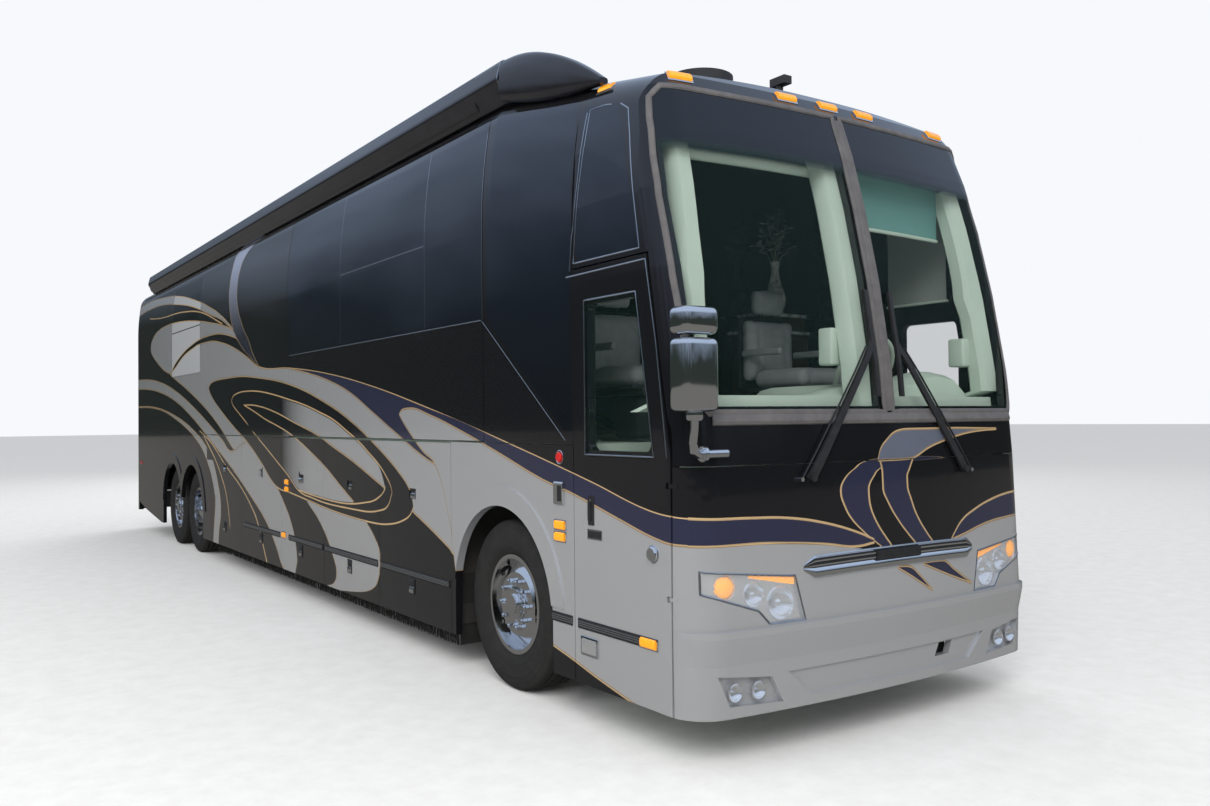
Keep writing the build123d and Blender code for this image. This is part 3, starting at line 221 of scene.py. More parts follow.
floor_finish = Finish("yard_floor", Roughness=0.9)
speckle = floor_finish.noise(6.0, 6.0, 0.7)
floor_tones = [(0.3, (0.78, 0.77, 0.75)), (0.7, (0.86, 0.855, 0.84))]
floor_tone = floor_finish.wire.node("ShaderNodeValToRGB", {"stops": floor_tones}, {0: speckle})
floor_finish.feed("Base Color", floor_tone)
floor_mesh = bpy.data.meshes.new("yard_floor")
floor_mesh.from_pydata([(-150, -150, 0), (150, -150, 0), (150, 150, 0), (-150, 150, 0)], [], [(0, 1, 2, 3)])
floor_mesh.materials.append(floor_finish.material)
floor = placed("yard_floor", floor_mesh)
floor.visible_glossy = False

sky = bpy.data.worlds.new("yard_sky")
sky.use_nodes = True
bpy.context.scene.world = sky
sky_wire = Wire(sky.node_tree)
seen = sky_wire.node("ShaderNodeLightPath", output=0)
glossy = sky_wire.node("ShaderNodeLightPath", output=3)
way = sky_wire.node("ShaderNodeTexCoord", output=0)
rise = sky_wire.node("ShaderNodeSeparateXYZ", inputs={0: way}, output=2)
clumps = sky_wire.node("ShaderNodeTexNoise", inputs={"Vector": way, "Scale": 7.0, "Detail": 5.0})
above_trees = rise + clumps * 0.30 - 0.15
clearing = above_trees.ranged(0.10, 0.42)
mirrored = clearing.mixed((0.030, 0.038, 0.034), (0.44, 0.54, 0.72))
mirrored = (rise < -0.012).mixed(mirrored, (0.17, 0.165, 0.155))
background = sky.node_tree.nodes["Background"]
sky_strength = seen.most(glossy) * 0.20 + 0.78
sky.node_tree.links.new(glossy.mixed((0.95, 0.97, 1.0), mirrored).socket, background.inputs["Color"])
sky.node_tree.links.new(sky_strength.socket, background.inputs["Strength"])

# Columns: lamp, place, what it looks at, size, power in watts
lamps = [
    ("front_key", (16.0, -10.0, 11.0), (3.0, -1.0, 1.5), 9.0, 2100),
    ("side_fill", (-2.0, -18.0, 8.0), (-1.0, -1.0, 1.5), 14.0, 1000),
    ("tail_fill", (-16.0, 10.0, 10.0), (-3.0, 1.0, 1.5), 12.0, 1000),
]
for name, place, aim, size, power in lamps:
    lamp = bpy.data.lights.new(name, "AREA")
    lamp.size = size
    lamp.energy = power
    holder = placed(name, lamp)
    look = (Vector(aim) - Vector(place)).to_track_quat("-Z", "Y").to_matrix().to_4x4()
    holder.matrix_world = Matrix.Translation(place) @ look
    holder.visible_glossy = False

# The painted shell: sprayed metal panels, gloss black with silver sweeps, a navy band and
# gold lines under clear lacquer. The sweeps run from the tail to the nose over every panel.
front_axle_x = 4.927
gold_line = 0.0062
band_top = [(-5.05, 2.19), (-4.0, 2.125), (-3.0, 2.03), (-2.0, 1.89), (-1.0, 1.71), (-0.5, 1.618),
            (0.0, 1.51), (0.5, 1.405), (1.0, 1.295), (1.5, 1.18), (1.65, 1.165), (1.95, 1.15)]
# Each sweep: name, tint, gold lines on its (upper, lower) edge, upper edge, lower edge.
# Points are distance ahead of the front axle and height.
sweeps = [
    ("tail_ribbon", "silver", (1, 1),
     [(-11.8, 3.44), (-11, 3.45), (-10, 3.41), (-9, 3.33), (-8, 3.18), (-7, 2.97), (-6.5, 2.83),
      (-5.75, 2.53)],
     [(-11.8, 3.30), (-11, 3.33), (-10, 3.31), (-9, 3.22), (-8, 3.09), (-7, 2.895), (-6.5, 2.79),
      (-5.75, 2.52)]),
    ("leaf", "silver", (1, 1),
     [(-10.62, 2.74), (-10.58, 2.80), (-10.45, 2.86), (-10.25, 2.92), (-9.9, 2.96), (-9.5, 2.975),
      (-9, 2.97), (-8, 2.91), (-7, 2.80), (-6.5, 2.73), (-6.1, 2.65), (-5.75, 2.53)],
     [(-10.62, 2.74), (-10.58, 2.68), (-10.45, 2.60), (-10.25, 2.53), (-9.9, 2.42), (-9.5, 2.33),
      (-9.28, 2.31), (-9.0, 2.41), (-8.5, 2.535), (-8, 2.61), (-7.5, 2.655), (-7, 2.66), (-6.5, 2.635),
      (-5.75, 2.52)]),
    ("long_sweep", "silver", (1, 1),
     [(-9.3, 2.29), (-9, 2.355), (-8.5, 2.485), (-8, 2.555), (-7.5, 2.59), (-7, 2.585), (-6.5, 2.53),
      (-6, 2.44), (-5.5, 2.315), (-5.05, 2.19), (-4, 2.125), (-3, 2.03), (-2, 1.89), (-1, 1.71),
      (0, 1.51), (1, 1.295), (1.5, 1.18), (1.65, 1.165), (1.95, 1.15)],
     [(-9.3, 2.29), (-9, 2.22), (-8.5, 2.11), (-8, 1.99), (-7.5, 1.86), (-7, 1.71), (-6.5, 1.53),
      (-6.1, 1.36), (-5.5, 1.17), (-4, 1.1), (-2, 1.1), (-1.5, 1.05), (-1.2, 0.965), (-0.6, 0.755),
      (-0.46, 0.70), (-0.44, 0.0), (1.95, 0.0)]),
    ("low_sweep", "silver", (1, 1),
     [(-11.8, 2.30), (-11, 2.28), (-10, 2.21), (-9, 2.06), (-8, 1.84), (-7, 1.57), (-6.5, 1.42),
      (-6.15, 1.31), (-5.5, 1.42), (-5, 1.22), (-4.7, 1.115), (-4.25, 0.865), (-4.0, 0.66),
      (-3.88, 0.47), (-3.85, 0.36)],
     [(-11.8, 2.16), (-11, 2.14), (-10, 2.07), (-9, 1.93), (-8, 1.70), (-7, 1.40), (-6.5, 1.25),
      (-6, 1.09), (-5.5, 0.91), (-5, 0.72), (-4.75, 0.60), (-4.5, 0.43), (-4.25, 0.235), (-4.0, 0.19),
      (-3.85, 0.36)]),
    ("wheel_ribbon", "silver", (1, 1),
     [(-11.8, 1.888), (-10.5, 1.866), (-9.5, 1.787), (-9, 1.725), (-8.5, 1.65), (-8, 1.55), (-7.5, 1.42),
      (-7.25, 1.33)],
     [(-11.8, 1.874), (-10.5, 1.852), (-9.5, 1.77), (-9, 1.69), (-8.5, 1.60), (-8, 1.485), (-7.5, 1.325),
      (-7.25, 1.19)]),
    ("loop_ground", "black", (1, 1),
     [(-7.15, 2.04), (-7.1, 2.075), (-7, 2.10), (-6.75, 2.12), (-6, 2.125), (-5, 2.075), (-4, 1.97),
      (-3, 1.775), (-2.5, 1.64), (-2, 1.465), (-1.5, 1.25), (-1.35, 1.16), (-1.28, 1.08), (-1.26, 1.02)],
     [(-7.15, 2.04), (-7.1, 1.99), (-7, 1.93), (-6.5, 1.735), (-6, 1.57), (-5.5, 1.42), (-5, 1.225),
      (-4.5, 1.01), (-4, 0.965), (-3.5, 0.925), (-3, 0.885), (-2.5, 0.86), (-2, 0.85), (-1.7, 0.865),
      (-1.45, 0.91), (-1.32, 0.96), (-1.26, 1.02)]),
    ("loop", "black", (1, 1),
     [(-6.12, 1.87), (-6.06, 1.91), (-5.9, 1.94), (-5.57, 1.956), (-5.08, 1.942), (-4.59, 1.899),
      (-4.1, 1.841), (-3.57, 1.771), (-3.22, 1.709), (-2.89, 1.645), (-2.59, 1.558), (-2.27, 1.456),
      (-2.08, 1.378), (-1.9, 1.303), (-1.75, 1.215), (-1.66, 1.14), (-1.64, 1.10)],
     [(-6.12, 1.87), (-6.06, 1.82), (-5.99, 1.789), (-5.62, 1.659), (-5.14, 1.483), (-4.77, 1.356),
      (-4.43, 1.237), (-4.11, 1.124), (-3.8, 1.0), (-3.4, 0.955), (-3, 0.93), (-2.3, 0.925),
      (-1.9, 0.95), (-1.72, 1.0), (-1.64, 1.10)]),
    ("upper_tongue", "fade", (0, 1),
     [(-5.623, 1.83), (-5.3, 1.91), (-5.08, 1.928), (-4.59, 1.885), (-4.1, 1.827), (-3.57, 1.757),
      (-3.22, 1.695), (-2.89, 1.631), (-2.59, 1.544), (-2.27, 1.442), (-2.08, 1.364), (-1.9, 1.289),
      (-1.836, 1.23), (-1.774, 1.132)],
     [(-5.623, 1.812), (-5.228, 1.802), (-4.594, 1.737), (-3.943, 1.626), (-3.224, 1.5), (-2.898, 1.42),
      (-2.445, 1.313), (-2.031, 1.199), (-1.799, 1.133), (-1.774, 1.125)]),
    ("lower_tongue", "fade", (1, 0),
     [(-5.623, 1.812), (-5.229, 1.738), (-4.859, 1.661), (-4.468, 1.596), (-4.101, 1.529),
      (-3.794, 1.453), (-3.433, 1.348), (-3.03, 1.218), (-2.717, 1.095), (-2.422, 0.984)],
     [(-5.623, 1.80), (-5.5, 1.625), (-5.14, 1.497), (-4.77, 1.37), (-4.43, 1.25), (-4.11, 1.137),
      (-3.8, 1.015), (-3.3, 0.985), (-2.97, 0.972), (-2.75, 0.970), (-2.422, 0.978)]),
    ("tongue_foot_line", "gold", (0, 0),
     [(-3.8, 1.011), (-3.3, 0.981), (-2.75, 0.965), (-2.42, 0.975), (-2.17, 1.001), (-2.03, 1.02),
      (-1.9, 1.057), (-1.8, 1.107), (-1.77, 1.15)],
     [(-3.8, 0.999), (-3.3, 0.969), (-2.75, 0.953), (-2.42, 0.963), (-2.17, 0.989), (-2.03, 1.008),
      (-1.9, 1.044), (-1.8, 1.094), (-1.77, 1.12)]),
    ("shoulder_line", "gold", (0, 0),
     [(-10.8, 3.188), (-10, 3.128), (-8.5, 3.078), (-7.5, 2.978), (-6.5, 2.758)],
     [(-10.8, 3.174), (-10, 3.114), (-8.5, 3.062), (-7.5, 2.962), (-6.5, 2.742)]),
    ("belly_line", "gold", (0, 0),
     [(-7.6, 1.537), (-7, 1.388), (-6.39, 1.157), (-5.74, 0.94), (-5.34, 0.759), (-5.15, 0.642),
      (-4.8, 0.25)],
     [(-7.6, 1.523), (-7, 1.372), (-6.39, 1.141), (-5.74, 0.924), (-5.34, 0.739), (-5.15, 0.612),
      (-4.8, 0.21)]),
    ("belly_line_rear", "gold", (0, 0),
     [(-7.4, 1.478), (-7, 1.292), (-6.86, 1.219), (-6.56, 1.022), (-6.34, 0.815), (-6.25, 0.65), (-6.2, 0.5)],
     [(-7.4, 1.462), (-7, 1.268), (-6.86, 1.199), (-6.56, 0.996), (-6.34, 0.78), (-6.25, 0.59),
      (-6.2, 0.44)]),
    ("navy_band", "navy", (0, 1),
     band_top[1:],
     [(-4.0, 2.12), (-3.5, 2.055), (-3, 1.975), (-2.5, 1.86), (-2, 1.69), (-1.6, 1.55), (-0.9, 1.33),
      (0, 1.2), (1.95, 0.95)]),
    ("hook", "silver", (1, 1),
     [(-1.5, 1.675), (-1.47, 1.697), (-1.4, 1.712), (-1.3, 1.715), (-1, 1.668), (-0.5, 1.555),
      (0, 1.425), (0.5, 1.29), (0.8, 1.23), (1.25, 1.12), (1.5, 1.06), (1.65, 1.038), (1.95, 1.034)],
     [(-1.5, 1.675), (-1.45, 1.635), (-1.25, 1.505), (-1.1, 1.42), (-0.9, 1.33), (-0.7, 1.0),
      (-0.55, 0.5), (-0.5, 0.0), (1.95, 0.0)]),
    ("door_foot", "black", (1, 0),
     [(0.6, 0.385), (0.8, 0.345), (1.0, 0.30), (1.45, 0.2125)], [(0.6, 0.0), (1.45, 0.0)]),
]
# The same, for sweeps that turn back on themselves: edges are height and distance ahead,
# the rear edge first.
upright_sweeps = [
    ("wheel_ribbon_foot", "silver",
     [(0.2, -6.95), (0.45, -6.9), (0.6, -6.86), (0.72, -6.84), (0.85, -6.9), (1.03, -7.05), (1.19, -7.25)],
     [(0.2, -6.73), (0.4, -6.68), (0.61, -6.6), (0.78, -6.63), (0.92, -6.72), (1.08, -6.85), (1.19, -6.97)]),
    ("belly_sweep", "silver",
     [(0.2, -3.2), (0.235, -3.05), (0.27, -2.9), (0.38, -2.82), (0.5, -2.9), (0.6, -3.0), (0.68, -3.1),
      (0.80, -3.3), (0.91, -3.55), (0.95, -3.62)],
     [(0.2, -3.0), (0.24, -2.7), (0.26, -2.5), (0.30, -2.2), (0.36, -2.0), (0.42, -1.93), (0.5, -1.89),
      (0.62, -1.885), (0.75, -2.0), (0.84, -2.15), (0.95, -2.4)]),
    ("sky_crescent", "crescent",
     [(2.19, -5.06), (2.3, -5.35), (2.4, -5.62), (2.55, -5.9), (2.66, -6.05), (2.86, -6.17),
      (3.09, -6.23), (3.31, -6.21), (3.5, -6.09), (3.58, -5.9), (3.62, -5.6)],
     [(2.19, -5.05), (2.35, -5.29), (2.5, -5.45), (2.6, -5.6), (2.75, -5.76), (2.9, -5.87),
      (3.1, -5.915), (3.3, -5.86), (3.4, -5.76), (3.5, -5.5), (3.56, -5.2), (3.62, -4.6)]),
]
# The nose is painted in front view: distance to the driver's side of the middle, height.
nose_black_foot = [(-1.3, 1.034), (-0.745, 1.023), (-0.52, 1.0), (-0.29, 0.965), (-0.18, 0.955),
                   (0.48, 0.955), (0.62, 0.977), (0.73, 1.0), (0.845, 1.018), (1.07, 1.034),
                   (1.3, 1.04)]
nose_sweeps = [
    ("right_band", "navy", (1, 1),
     [(-1.3, 1.165), (-1.2, 1.16), (-0.97, 1.155), (-0.745, 1.143), (-0.52, 1.107), (-0.29, 1.045),
      (-0.17, 1.0)],
     [(-1.3, 1.034), (-0.97, 1.034), (-0.745, 1.023), (-0.52, 1.003), (-0.29, 0.975), (-0.17, 0.985)]),
    ("left_band", "navy", (1, 1),
     [(0.47, 0.955), (0.505, 0.99), (0.573, 1.045), (0.71, 1.10), (0.845, 1.136), (1.07, 1.17), (1.3, 1.178)],
     [(0.47, 0.95), (0.62, 0.977), (0.73, 1.0), (0.845, 1.018), (1.07, 1.034), (1.3, 1.04)]),
    ("crest", "slate", (1, 1),
     [(-0.115, 1.405), (-0.09, 1.455), (-0.04, 1.50), (0.04, 1.545), (0.164, 1.557), (0.5, 1.557),
      (0.8, 1.552), (1.0, 1.548)],
     [(-0.115, 1.40), (0.0, 1.40), (0.164, 1.405), (0.21, 1.42), (0.3, 1.455), (0.436, 1.489),
      (0.62, 1.523), (0.8, 1.54), (1.0, 1.546)]),
    ("bar_tip", "navy", (1, 1),
     [(0.0, 0.85), (0.11, 0.835), (0.16, 0.80), (0.277, 0.70)], [(0.0, 0.84), (0.11, 0.785), (0.277, 0.695)]),
    ("bar_tip_wide", "navy", (1, 1),
     [(0.21, 0.85), (0.39, 0.845), (0.48, 0.79), (0.64, 0.70)], [(0.21, 0.84), (0.436, 0.76), (0.64, 0.695)]),
]
nose_upright_sweeps = [
    ("right_leaf", "navy",
     [(0.95, -0.10), (1.0, -0.18), (1.045, -0.245), (1.114, -0.325), (1.18, -0.37), (1.25, -0.393),
      (1.318, -0.36), (1.364, -0.29), (1.40, -0.2), (1.414, -0.06)],
     [(0.95, -0.03), (1.01, -0.086), (1.10, -0.155), (1.18, -0.19), (1.25, -0.195), (1.318, -0.155),
      (1.364, -0.086), (1.386, 0.027), (1.398, 0.42), (1.414, 0.16)]),
    ("left_leaf", "navy",
     [(0.95, 0.164), (1.0, 0.107), (1.08, 0.027), (1.18, -0.05), (1.26, -0.086), (1.33, -0.086),
      (1.405, -0.1)],
     [(0.95, 0.305), (1.0, 0.255), (1.10, 0.175), (1.193, 0.13), (1.26, 0.107), (1.307, 0.107),
      (1.35, 0.13), (1.405, 0.164)]),
]


def edge_curve(along, low, high, points, span, base):
    """Height of an edge over its length, as a share of the span."""
    stops = [((run - low) / (high - low), (rise - base) / span) for run, rise in points]
    return along.node("ShaderNodeFloatCurve", {"curve": stops}, {"Factor": 1.0, "Value": along})


def lay_sweep(colour, shade, tints, run, rise, tint, lined, upper, lower, span, base):
    """Lays one sweep over the colour below it, then its gold lines. Returns colour and shade."""
    low, high = min(upper[0][0], lower[0][0]), max(upper[-1][0], lower[-1][0])
    along = (run - low) * (1.0 / (high - low))
    level = (rise - base) * (1.0 / span)
    inside = abs(along - 0.5) < 0.5
    above = edge_curve(along, low, high, upper, span, base)
    below = edge_curve(along, low, high, lower, span, base)
    body = (level < above) * (level > below) * inside
    colour = body.mixed(colour, tints[tint])
    shade = body.blended(shade, tints[tint + "_metal"])
    for edge, wanted in ((above, lined[0]), (below, lined[1])):
        if wanted:
            line = (abs(level - edge) < gold_line / span) * inside
            colour = line.mixed(colour, tints["gold"])
    return colour, shade


def painted(finish, tints):
    """The whole livery as a colour and a share of metal, from the place on the coach."""
    x, y, z = finish.axes()
    ahead = x - front_axle_x
    fade = ahead.ranged(-4.3, -3.25)
    tints = dict(tints)
    tints["fade"] = fade.mixed(tints["black"], tints["silver"])
    tints["fade_metal"] = fade * tints["silver_metal"]
    tints["crescent"] = z.ranged(2.55, 3.4).mixed(tints["navy"], tints["sky"])
    tints["crescent_metal"] = tints["silver_metal"]
    colour, shade = tints["black"], 0.0
    for name, tint, lined, upper, lower in sweeps[:5]:
        colour, shade = lay_sweep(colour, shade, tints, ahead, z, tint, lined, upper, lower, 4.0, 0.0)
    for name, tint, rear, front in upright_sweeps:
        colour, shade = lay_sweep(colour, shade, tints, z, ahead, tint, (1, 1), front, rear, 12.0, -12.0)
    for name, tint, lined, upper, lower in sweeps[5:]:
        colour, shade = lay_sweep(colour, shade, tints, ahead, z, tint, lined, upper, lower, 4.0, 0.0)
    front, gloss = lay_sweep(tints["black"], 0.0, tints, y, z, "silver", (0, 0), nose_black_foot,
                             [(-1.3, 0.0), (1.3, 0.0)], 4.0, 0.0)
    for name, tint, left, right in nose_upright_sweeps:
        front, gloss = lay_sweep(front, gloss, tints, z, y, tint, (1, 1), right, left, 4.0, -2.0)
    for name, tint, lined, upper, lower in nose_sweeps:
        front, gloss = lay_sweep(front, gloss, tints, y, z, tint, lined, upper, lower, 4.0, 0.0)
    nose = x > front_axle_x + 1.735
    return nose.mixed(colour, front), nose.blended(shade, gloss)


paint = Finish("lacquered_paint", Coat_Weight=0.6, Coat_Roughness=0.03, Specular_IOR_Level=0.35)
paint_tints = {
    "black": (0.006, 0.006, 0.0075), "silver": (0.54, 0.545, 0.555), "navy": (0.008, 0.010, 0.040),
    "slate": (0.16, 0.18, 0.25), "sky": (0.50, 0.55, 0.72), "gold": (0.45, 0.31, 0.16),
    "black_metal": 0.0, "gold_metal": 0.0, "silver_metal": 0.6, "navy_metal": 0.25, "slate_metal": 0.5,
}
livery, metal_share = painted(paint, paint_tints)
flake = paint.cells(900.0)
dust = paint.noise(3.0, 5.0, 0.6)
livery = (metal_share * flake * 0.18).mixed(livery, (0.75, 0.76, 0.78))
paint.feed("Base Color", livery)
paint.feed("Metallic", metal_share)
paint.feed("Roughness", metal_share * 0.20 + dust * 0.08 + 0.06)
paint.bump(dust, 0.02, 0.002)
bay_doors = [f"{side}_bay_door_{place}" for side in ("right", "left") for place in range(1, 6)]
dress(paint, "right_wall", "left_wall", "roof", "front_cap", "front_mask", "front_bumper", "rear_cap",
      "rear_bumper", "front_fenders", "rear_fenders", "entry_door", "right_slideout", "left_slideout",
      "engine_door", *bay_doors)

# Panes: bonded glass, flush with the panels. The side panes are privacy glass, near black,
# and the bedroom pane carries the livery on a film with a dark slot across it.
privacy = Finish("privacy_glass", Roughness=0.04, Specular_IOR_Level=0.5, Coat_Weight=0.3,
                 Coat_Roughness=0.02)
film_tints = {**paint_tints, "black": (0.004, 0.005, 0.008), "silver": (0.42, 0.43, 0.44)}
film = painted(privacy, film_tints)[0]
pane_x, pane_z = privacy.axes()[::2]
film_zone = pane_x < front_axle_x - 5.0
slot_line = (abs(pane_z - 2.83) < 0.006) * film_zone
# Painted sky reflection: the panes run lighter and bluer towards the top.
glass_tone_and_painted_sky = pane_z.ranged(1.5, 3.5).mixed((0.0035, 0.0045, 0.006), (0.008, 0.012, 0.022))
privacy.feed("Base Color", slot_line.mixed(film_zone.mixed(glass_tone_and_painted_sky, film), (0.003, 0.003, 0.003)))
cab_zone = (pane_x > front_axle_x + 0.90) * (pane_z < 2.40)
privacy.feed("Alpha", cab_zone * -0.86 + 1.0)
dress(privacy, "side_windows", "right_slideout_glass", "left_slideout_glass")

# Windscreens and the entry door's pane: clear green laminated glass, bonded in place, turning
# dark and near opaque across the top of the screens.
clear = Finish("screen_glass", Roughness=0.02, Specular_IOR_Level=0.5, Coat_Weight=0.2)
band = clear.axes()[2].ranged(2.94, 3.0)
clear.feed("Base Color", band.mixed((0.02, 0.045, 0.038), (0.006, 0.008, 0.012)))
clear.feed("Alpha", band * 0.84 + 0.09)
dress(clear, "windshields", "entry_door_glass")

# Tyres: moulded rubber on each rim, ribbed for the road. Four grooves run round the tread,
# with a scuff rib and fine rings on the sidewall.
hub_z = 0.512
wheel_y = 1.078
dual_half = 0.1715
drive_axle_x, tag_axle_x = front_axle_x - 8.03, front_axle_x - 9.17
rubber = Finish("tyre_rubber", Roughness=0.82, Specular_IOR_Level=0.25)
rubber.worn((0.012, 0.012, 0.012), (0.030, 0.029, 0.027), 14.0, 6.0, 0.65)
rubber.bump(rubber.noise(180.0, 2.0), 0.10, 0.002)
groove_places = (-0.082, -0.028, 0.028, 0.082)
groove_section = [(-0.0065, 0.0), (-0.0055, 0.002), (-0.0045, 0.013), (0.0045, 0.013), (0.0055, 0.002),
                  (0.0065, 0.0)]
tread = [(-0.122, 0.508)]
for groove in groove_places:
    crown = 0.512 - 0.004 * (groove / 0.122) ** 2
    tread += [(groove + across, crown - down) for across, down in groove_section]
tread += [(0.122, 0.508)]
wall = [(0.130, 0.503), (0.138, 0.496), (0.1425, 0.485), (0.145, 0.468), (0.1495, 0.462),
        (0.1495, 0.455), (0.151, 0.445), (0.1545, 0.430), (0.1555, 0.4285), (0.1555, 0.424),
        (0.1562, 0.415), (0.157, 0.400), (0.1562, 0.385), (0.1535, 0.365), (0.1545, 0.363),
        (0.1545, 0.358), (0.149, 0.345), (0.140, 0.322), (0.1285, 0.308), (0.1265, 0.3045),
        (0.1137, 0.301), (0.1137, 0.2863)]
tyre_outline = tread + wall + [(-offset, radius) for offset, radius in reversed(wall)]


def bridge(bm, rings, loop=False, open_run=False, material=0):
    """Skins rings of places. A loop joins the last to the first, otherwise both ends are capped."""
    rings = [[bm.verts.new(place) for place in ring] for ring in rings]
    count = len(rings[0])
    for ring, after in zip(rings, rings[1:] + rings[:1] if loop else rings[1:]):
        for first in range(count - 1 if open_run else count):
            second = (first + 1) % count
            bm.faces.new((ring[first], ring[second], after[second], after[first])).material_index = material
    if not loop:
        bm.faces.new(rings[0]).material_index = material
        bm.faces.new(rings[-1][::-1]).material_index = material


def angles(steps):
    return [2 * math.pi * step / steps for step in range(steps)]


def turned(bm, outline, steps, x, y, z, side, closed=True):
    """Spins an outline (distance outboard, radius) about a wheel's axis."""
    rings = [[(x + radius * math.sin(angle), y + side * off, z + radius * math.cos(angle))
              for off, radius in outline] for angle in angles(steps)]
    bridge(bm, rings, loop=True, open_run=not closed)


sides = (("right", -1), ("left", 1))
wheels = []
for side_name, side in sides:
    for axle, axle_x in (("front", front_axle_x), ("tag", tag_axle_x)):
        wheels.append((f"{axle}_{side_name}", f"{axle}_{side_name}_wheel", f"{axle}_{side_name}_tyre", axle_x,
                       [(side * wheel_y, side)], side))
    twins = [(side * wheel_y, side), (side * (wheel_y - 2 * dual_half), -side)]
    wheels.append((f"drive_{side_name}", f"drive_{side_name}_wheels", f"drive_{side_name}_tyres",
                   drive_axle_x, twins, side))
for name, body, node, axle_x, places, side in wheels:
    bm = bmesh.new()
    for y, way in places:
        turned(bm, tyre_outline, 144, axle_x, y, hub_z, way)
    tyre = solid(f"{name}_road_tyre", bm, rubber, body)
    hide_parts(node)

# Rims: forged alloy, polished bright, bolted up with ten capped nuts round a chrome hub
# cover. The barrel and the disc with its hand holes are the solids of the part.
alloy = Finish("polished_alloy", Metallic=1.0, Coat_Weight=0.2)
alloy.worn((0.72, 0.73, 0.75), (0.83, 0.84, 0.86), 60.0, 4.0, 0.6, gloss=(0.10, 0.10))
dress(alloy, *[f"{axle}_{side}_rim" for axle in ("front", "tag") for side in ("right", "left")],
      "drive_right_rims", "drive_left_rims")
chrome = Finish("bright_chrome", Metallic=1.0)
chrome.worn((0.80, 0.82, 0.85), (0.88, 0.89, 0.91), 9.0, 4.0, 0.6, gloss=(0.06, 0.03))


class Repeat:
    """A Geometry Nodes group that puts copies of one shape on points, with its own settings."""

    def __init__(self, name, settings):
        kinds = {int: "NodeSocketInt", float: "NodeSocketFloat", type(None): "NodeSocketMaterial"}
        self.tree = bpy.data.node_groups.new(name, "GeometryNodeTree")
        self.inputs = {}
        for label, value in settings.items():
            made = self.tree.interface.new_socket(label, in_out="INPUT", socket_type=kinds[type(value)])
            self.inputs[label] = made.identifier
            if value is not None:
                made.default_value = value
        self.tree.interface.new_socket("Geometry", in_out="OUTPUT", socket_type="NodeSocketGeometry")
        self.node = Wire(self.tree).node
        given = self.tree.nodes.new("NodeGroupInput")
        self.given = {label: Wire(self.tree, given.outputs[label]) for label in settings}

    def close(self, points, shape, material, turn=None):
        """Puts the shape on the points, makes it real and gives it its material."""
        inputs = {"Points": points, "Instance": shape}
        if turn:
            inputs["Rotation"] = turn
        placed = self.node("GeometryNodeInstanceOnPoints", inputs=inputs)
        real = self.node("GeometryNodeRealizeInstances", inputs={"Geometry": placed})
        inputs = {"Geometry": real, "Material": self.given[material]}
        real = self.node("GeometryNodeSetMaterial", inputs=inputs)
        out = self.tree.nodes.new("NodeGroupOutput")
        self.tree.links.new(real.socket, out.inputs["Geometry"])


nut_sizes = {"Nuts": 10, "Ring Radius": 0.1425, "Nut Radius": 0.0165, "Nut Length": 0.026}
nut_ring = Repeat("nut_ring", {**nut_sizes, "Metal": None})
given = nut_ring.given
ring = nut_ring.node("GeometryNodeMeshCircle",
                     inputs={"Vertices": given["Nuts"], "Radius": given["Ring Radius"]})
shank = nut_ring.node("GeometryNodeMeshCylinder",
                      inputs={"Vertices": 6, "Radius": given["Nut Radius"], "Depth": given["Nut Length"]})
cap = nut_ring.node("GeometryNodeMeshUVSphere",
                    inputs={"Segments": 12, "Rings": 8, "Radius": given["Nut Radius"] * 0.86})
lifted = nut_ring.node("ShaderNodeCombineXYZ", inputs={"Z": given["Nut Length"] * 0.5})
cap = nut_ring.node("GeometryNodeTransform", inputs={"Geometry": cap, "Translation": lifted})
nut = nut_ring.node("GeometryNodeJoinGeometry", inputs={"Geometry": shank})
nut_ring.tree.links.new(cap.socket, nut.socket.node.inputs["Geometry"])
nut_ring.close(ring, nut, "Metal")


def with_modifiers(piece):
    """An object's mesh after its modifiers."""
    graph = bpy.context.evaluated_depsgraph_get()
    return bpy.data.meshes.new_from_object(piece.evaluated_get(graph), depsgraph=graph)


def grown(name, repeat, settings, body, place):
    """Runs a repeat once, as a plain mesh that rides on a body, moved by a matrix."""
    seed = placed(name + "_seed", bpy.data.meshes.new(name + "_seed"))
    modifier = seed.modifiers.new("repeat", "NODES")
    modifier.node_group = repeat.tree
    for label, value in settings.items():
        modifier[repeat.inputs[label]] = value
    mesh = with_modifiers(seed)
    seed.modifiers.clear()
    bpy.data.objects.remove(seed)
    mesh.name = name
    mesh.transform(place)
    mesh.update()
    piece = placed(name, mesh)
    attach(piece, body)


hub_cover = [(0.100, 0.0), (0.099, 0.018), (0.094, 0.036), (0.084, 0.052), (0.068, 0.063),
             (0.046, 0.070), (0.040, 0.078), (0.037, 0.092), (0.030, 0.102), (0.010, 0.107),
             (-0.012, 0.109), (-0.014, 0.114), (-0.040, 0.116)]
for name, body, node, axle_x, places, side in wheels:
    face = wheel_y + (-0.110 if name.startswith("drive") else 0.106)
    bm = bmesh.new()
    reach = 0.052 if name.startswith("drive") else 0.048
    outline = [(max(-0.012, off) * reach / 0.100, radius) for off, radius in hub_cover]
    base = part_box(node.replace("tyre", "rim"))
    outer = max(abs(base[0][1]), abs(base[1][1]))
    turned(bm, [(off - 0.004, radius) for off, radius in outline], 64, axle_x,
           side * (outer + 0.003 - outline[0][0]), hub_z, side, closed=False)
    solid(f"{name}_hub_cover", bm, chrome, body)
    turn_out = Matrix.Rotation(math.radians(-90 * side), 4, "X")
    grown(f"{name}_wheel_nuts", nut_ring, {**nut_sizes, "Metal": chrome.material},
          body, Matrix.Translation((axle_x, side * (face + 0.014), hub_z)) @ turn_out)

# Glazing and panel lines: pale metal edge strips, pressed into the joints around the panes
# and along the belt. They are laid on the shell by rays.


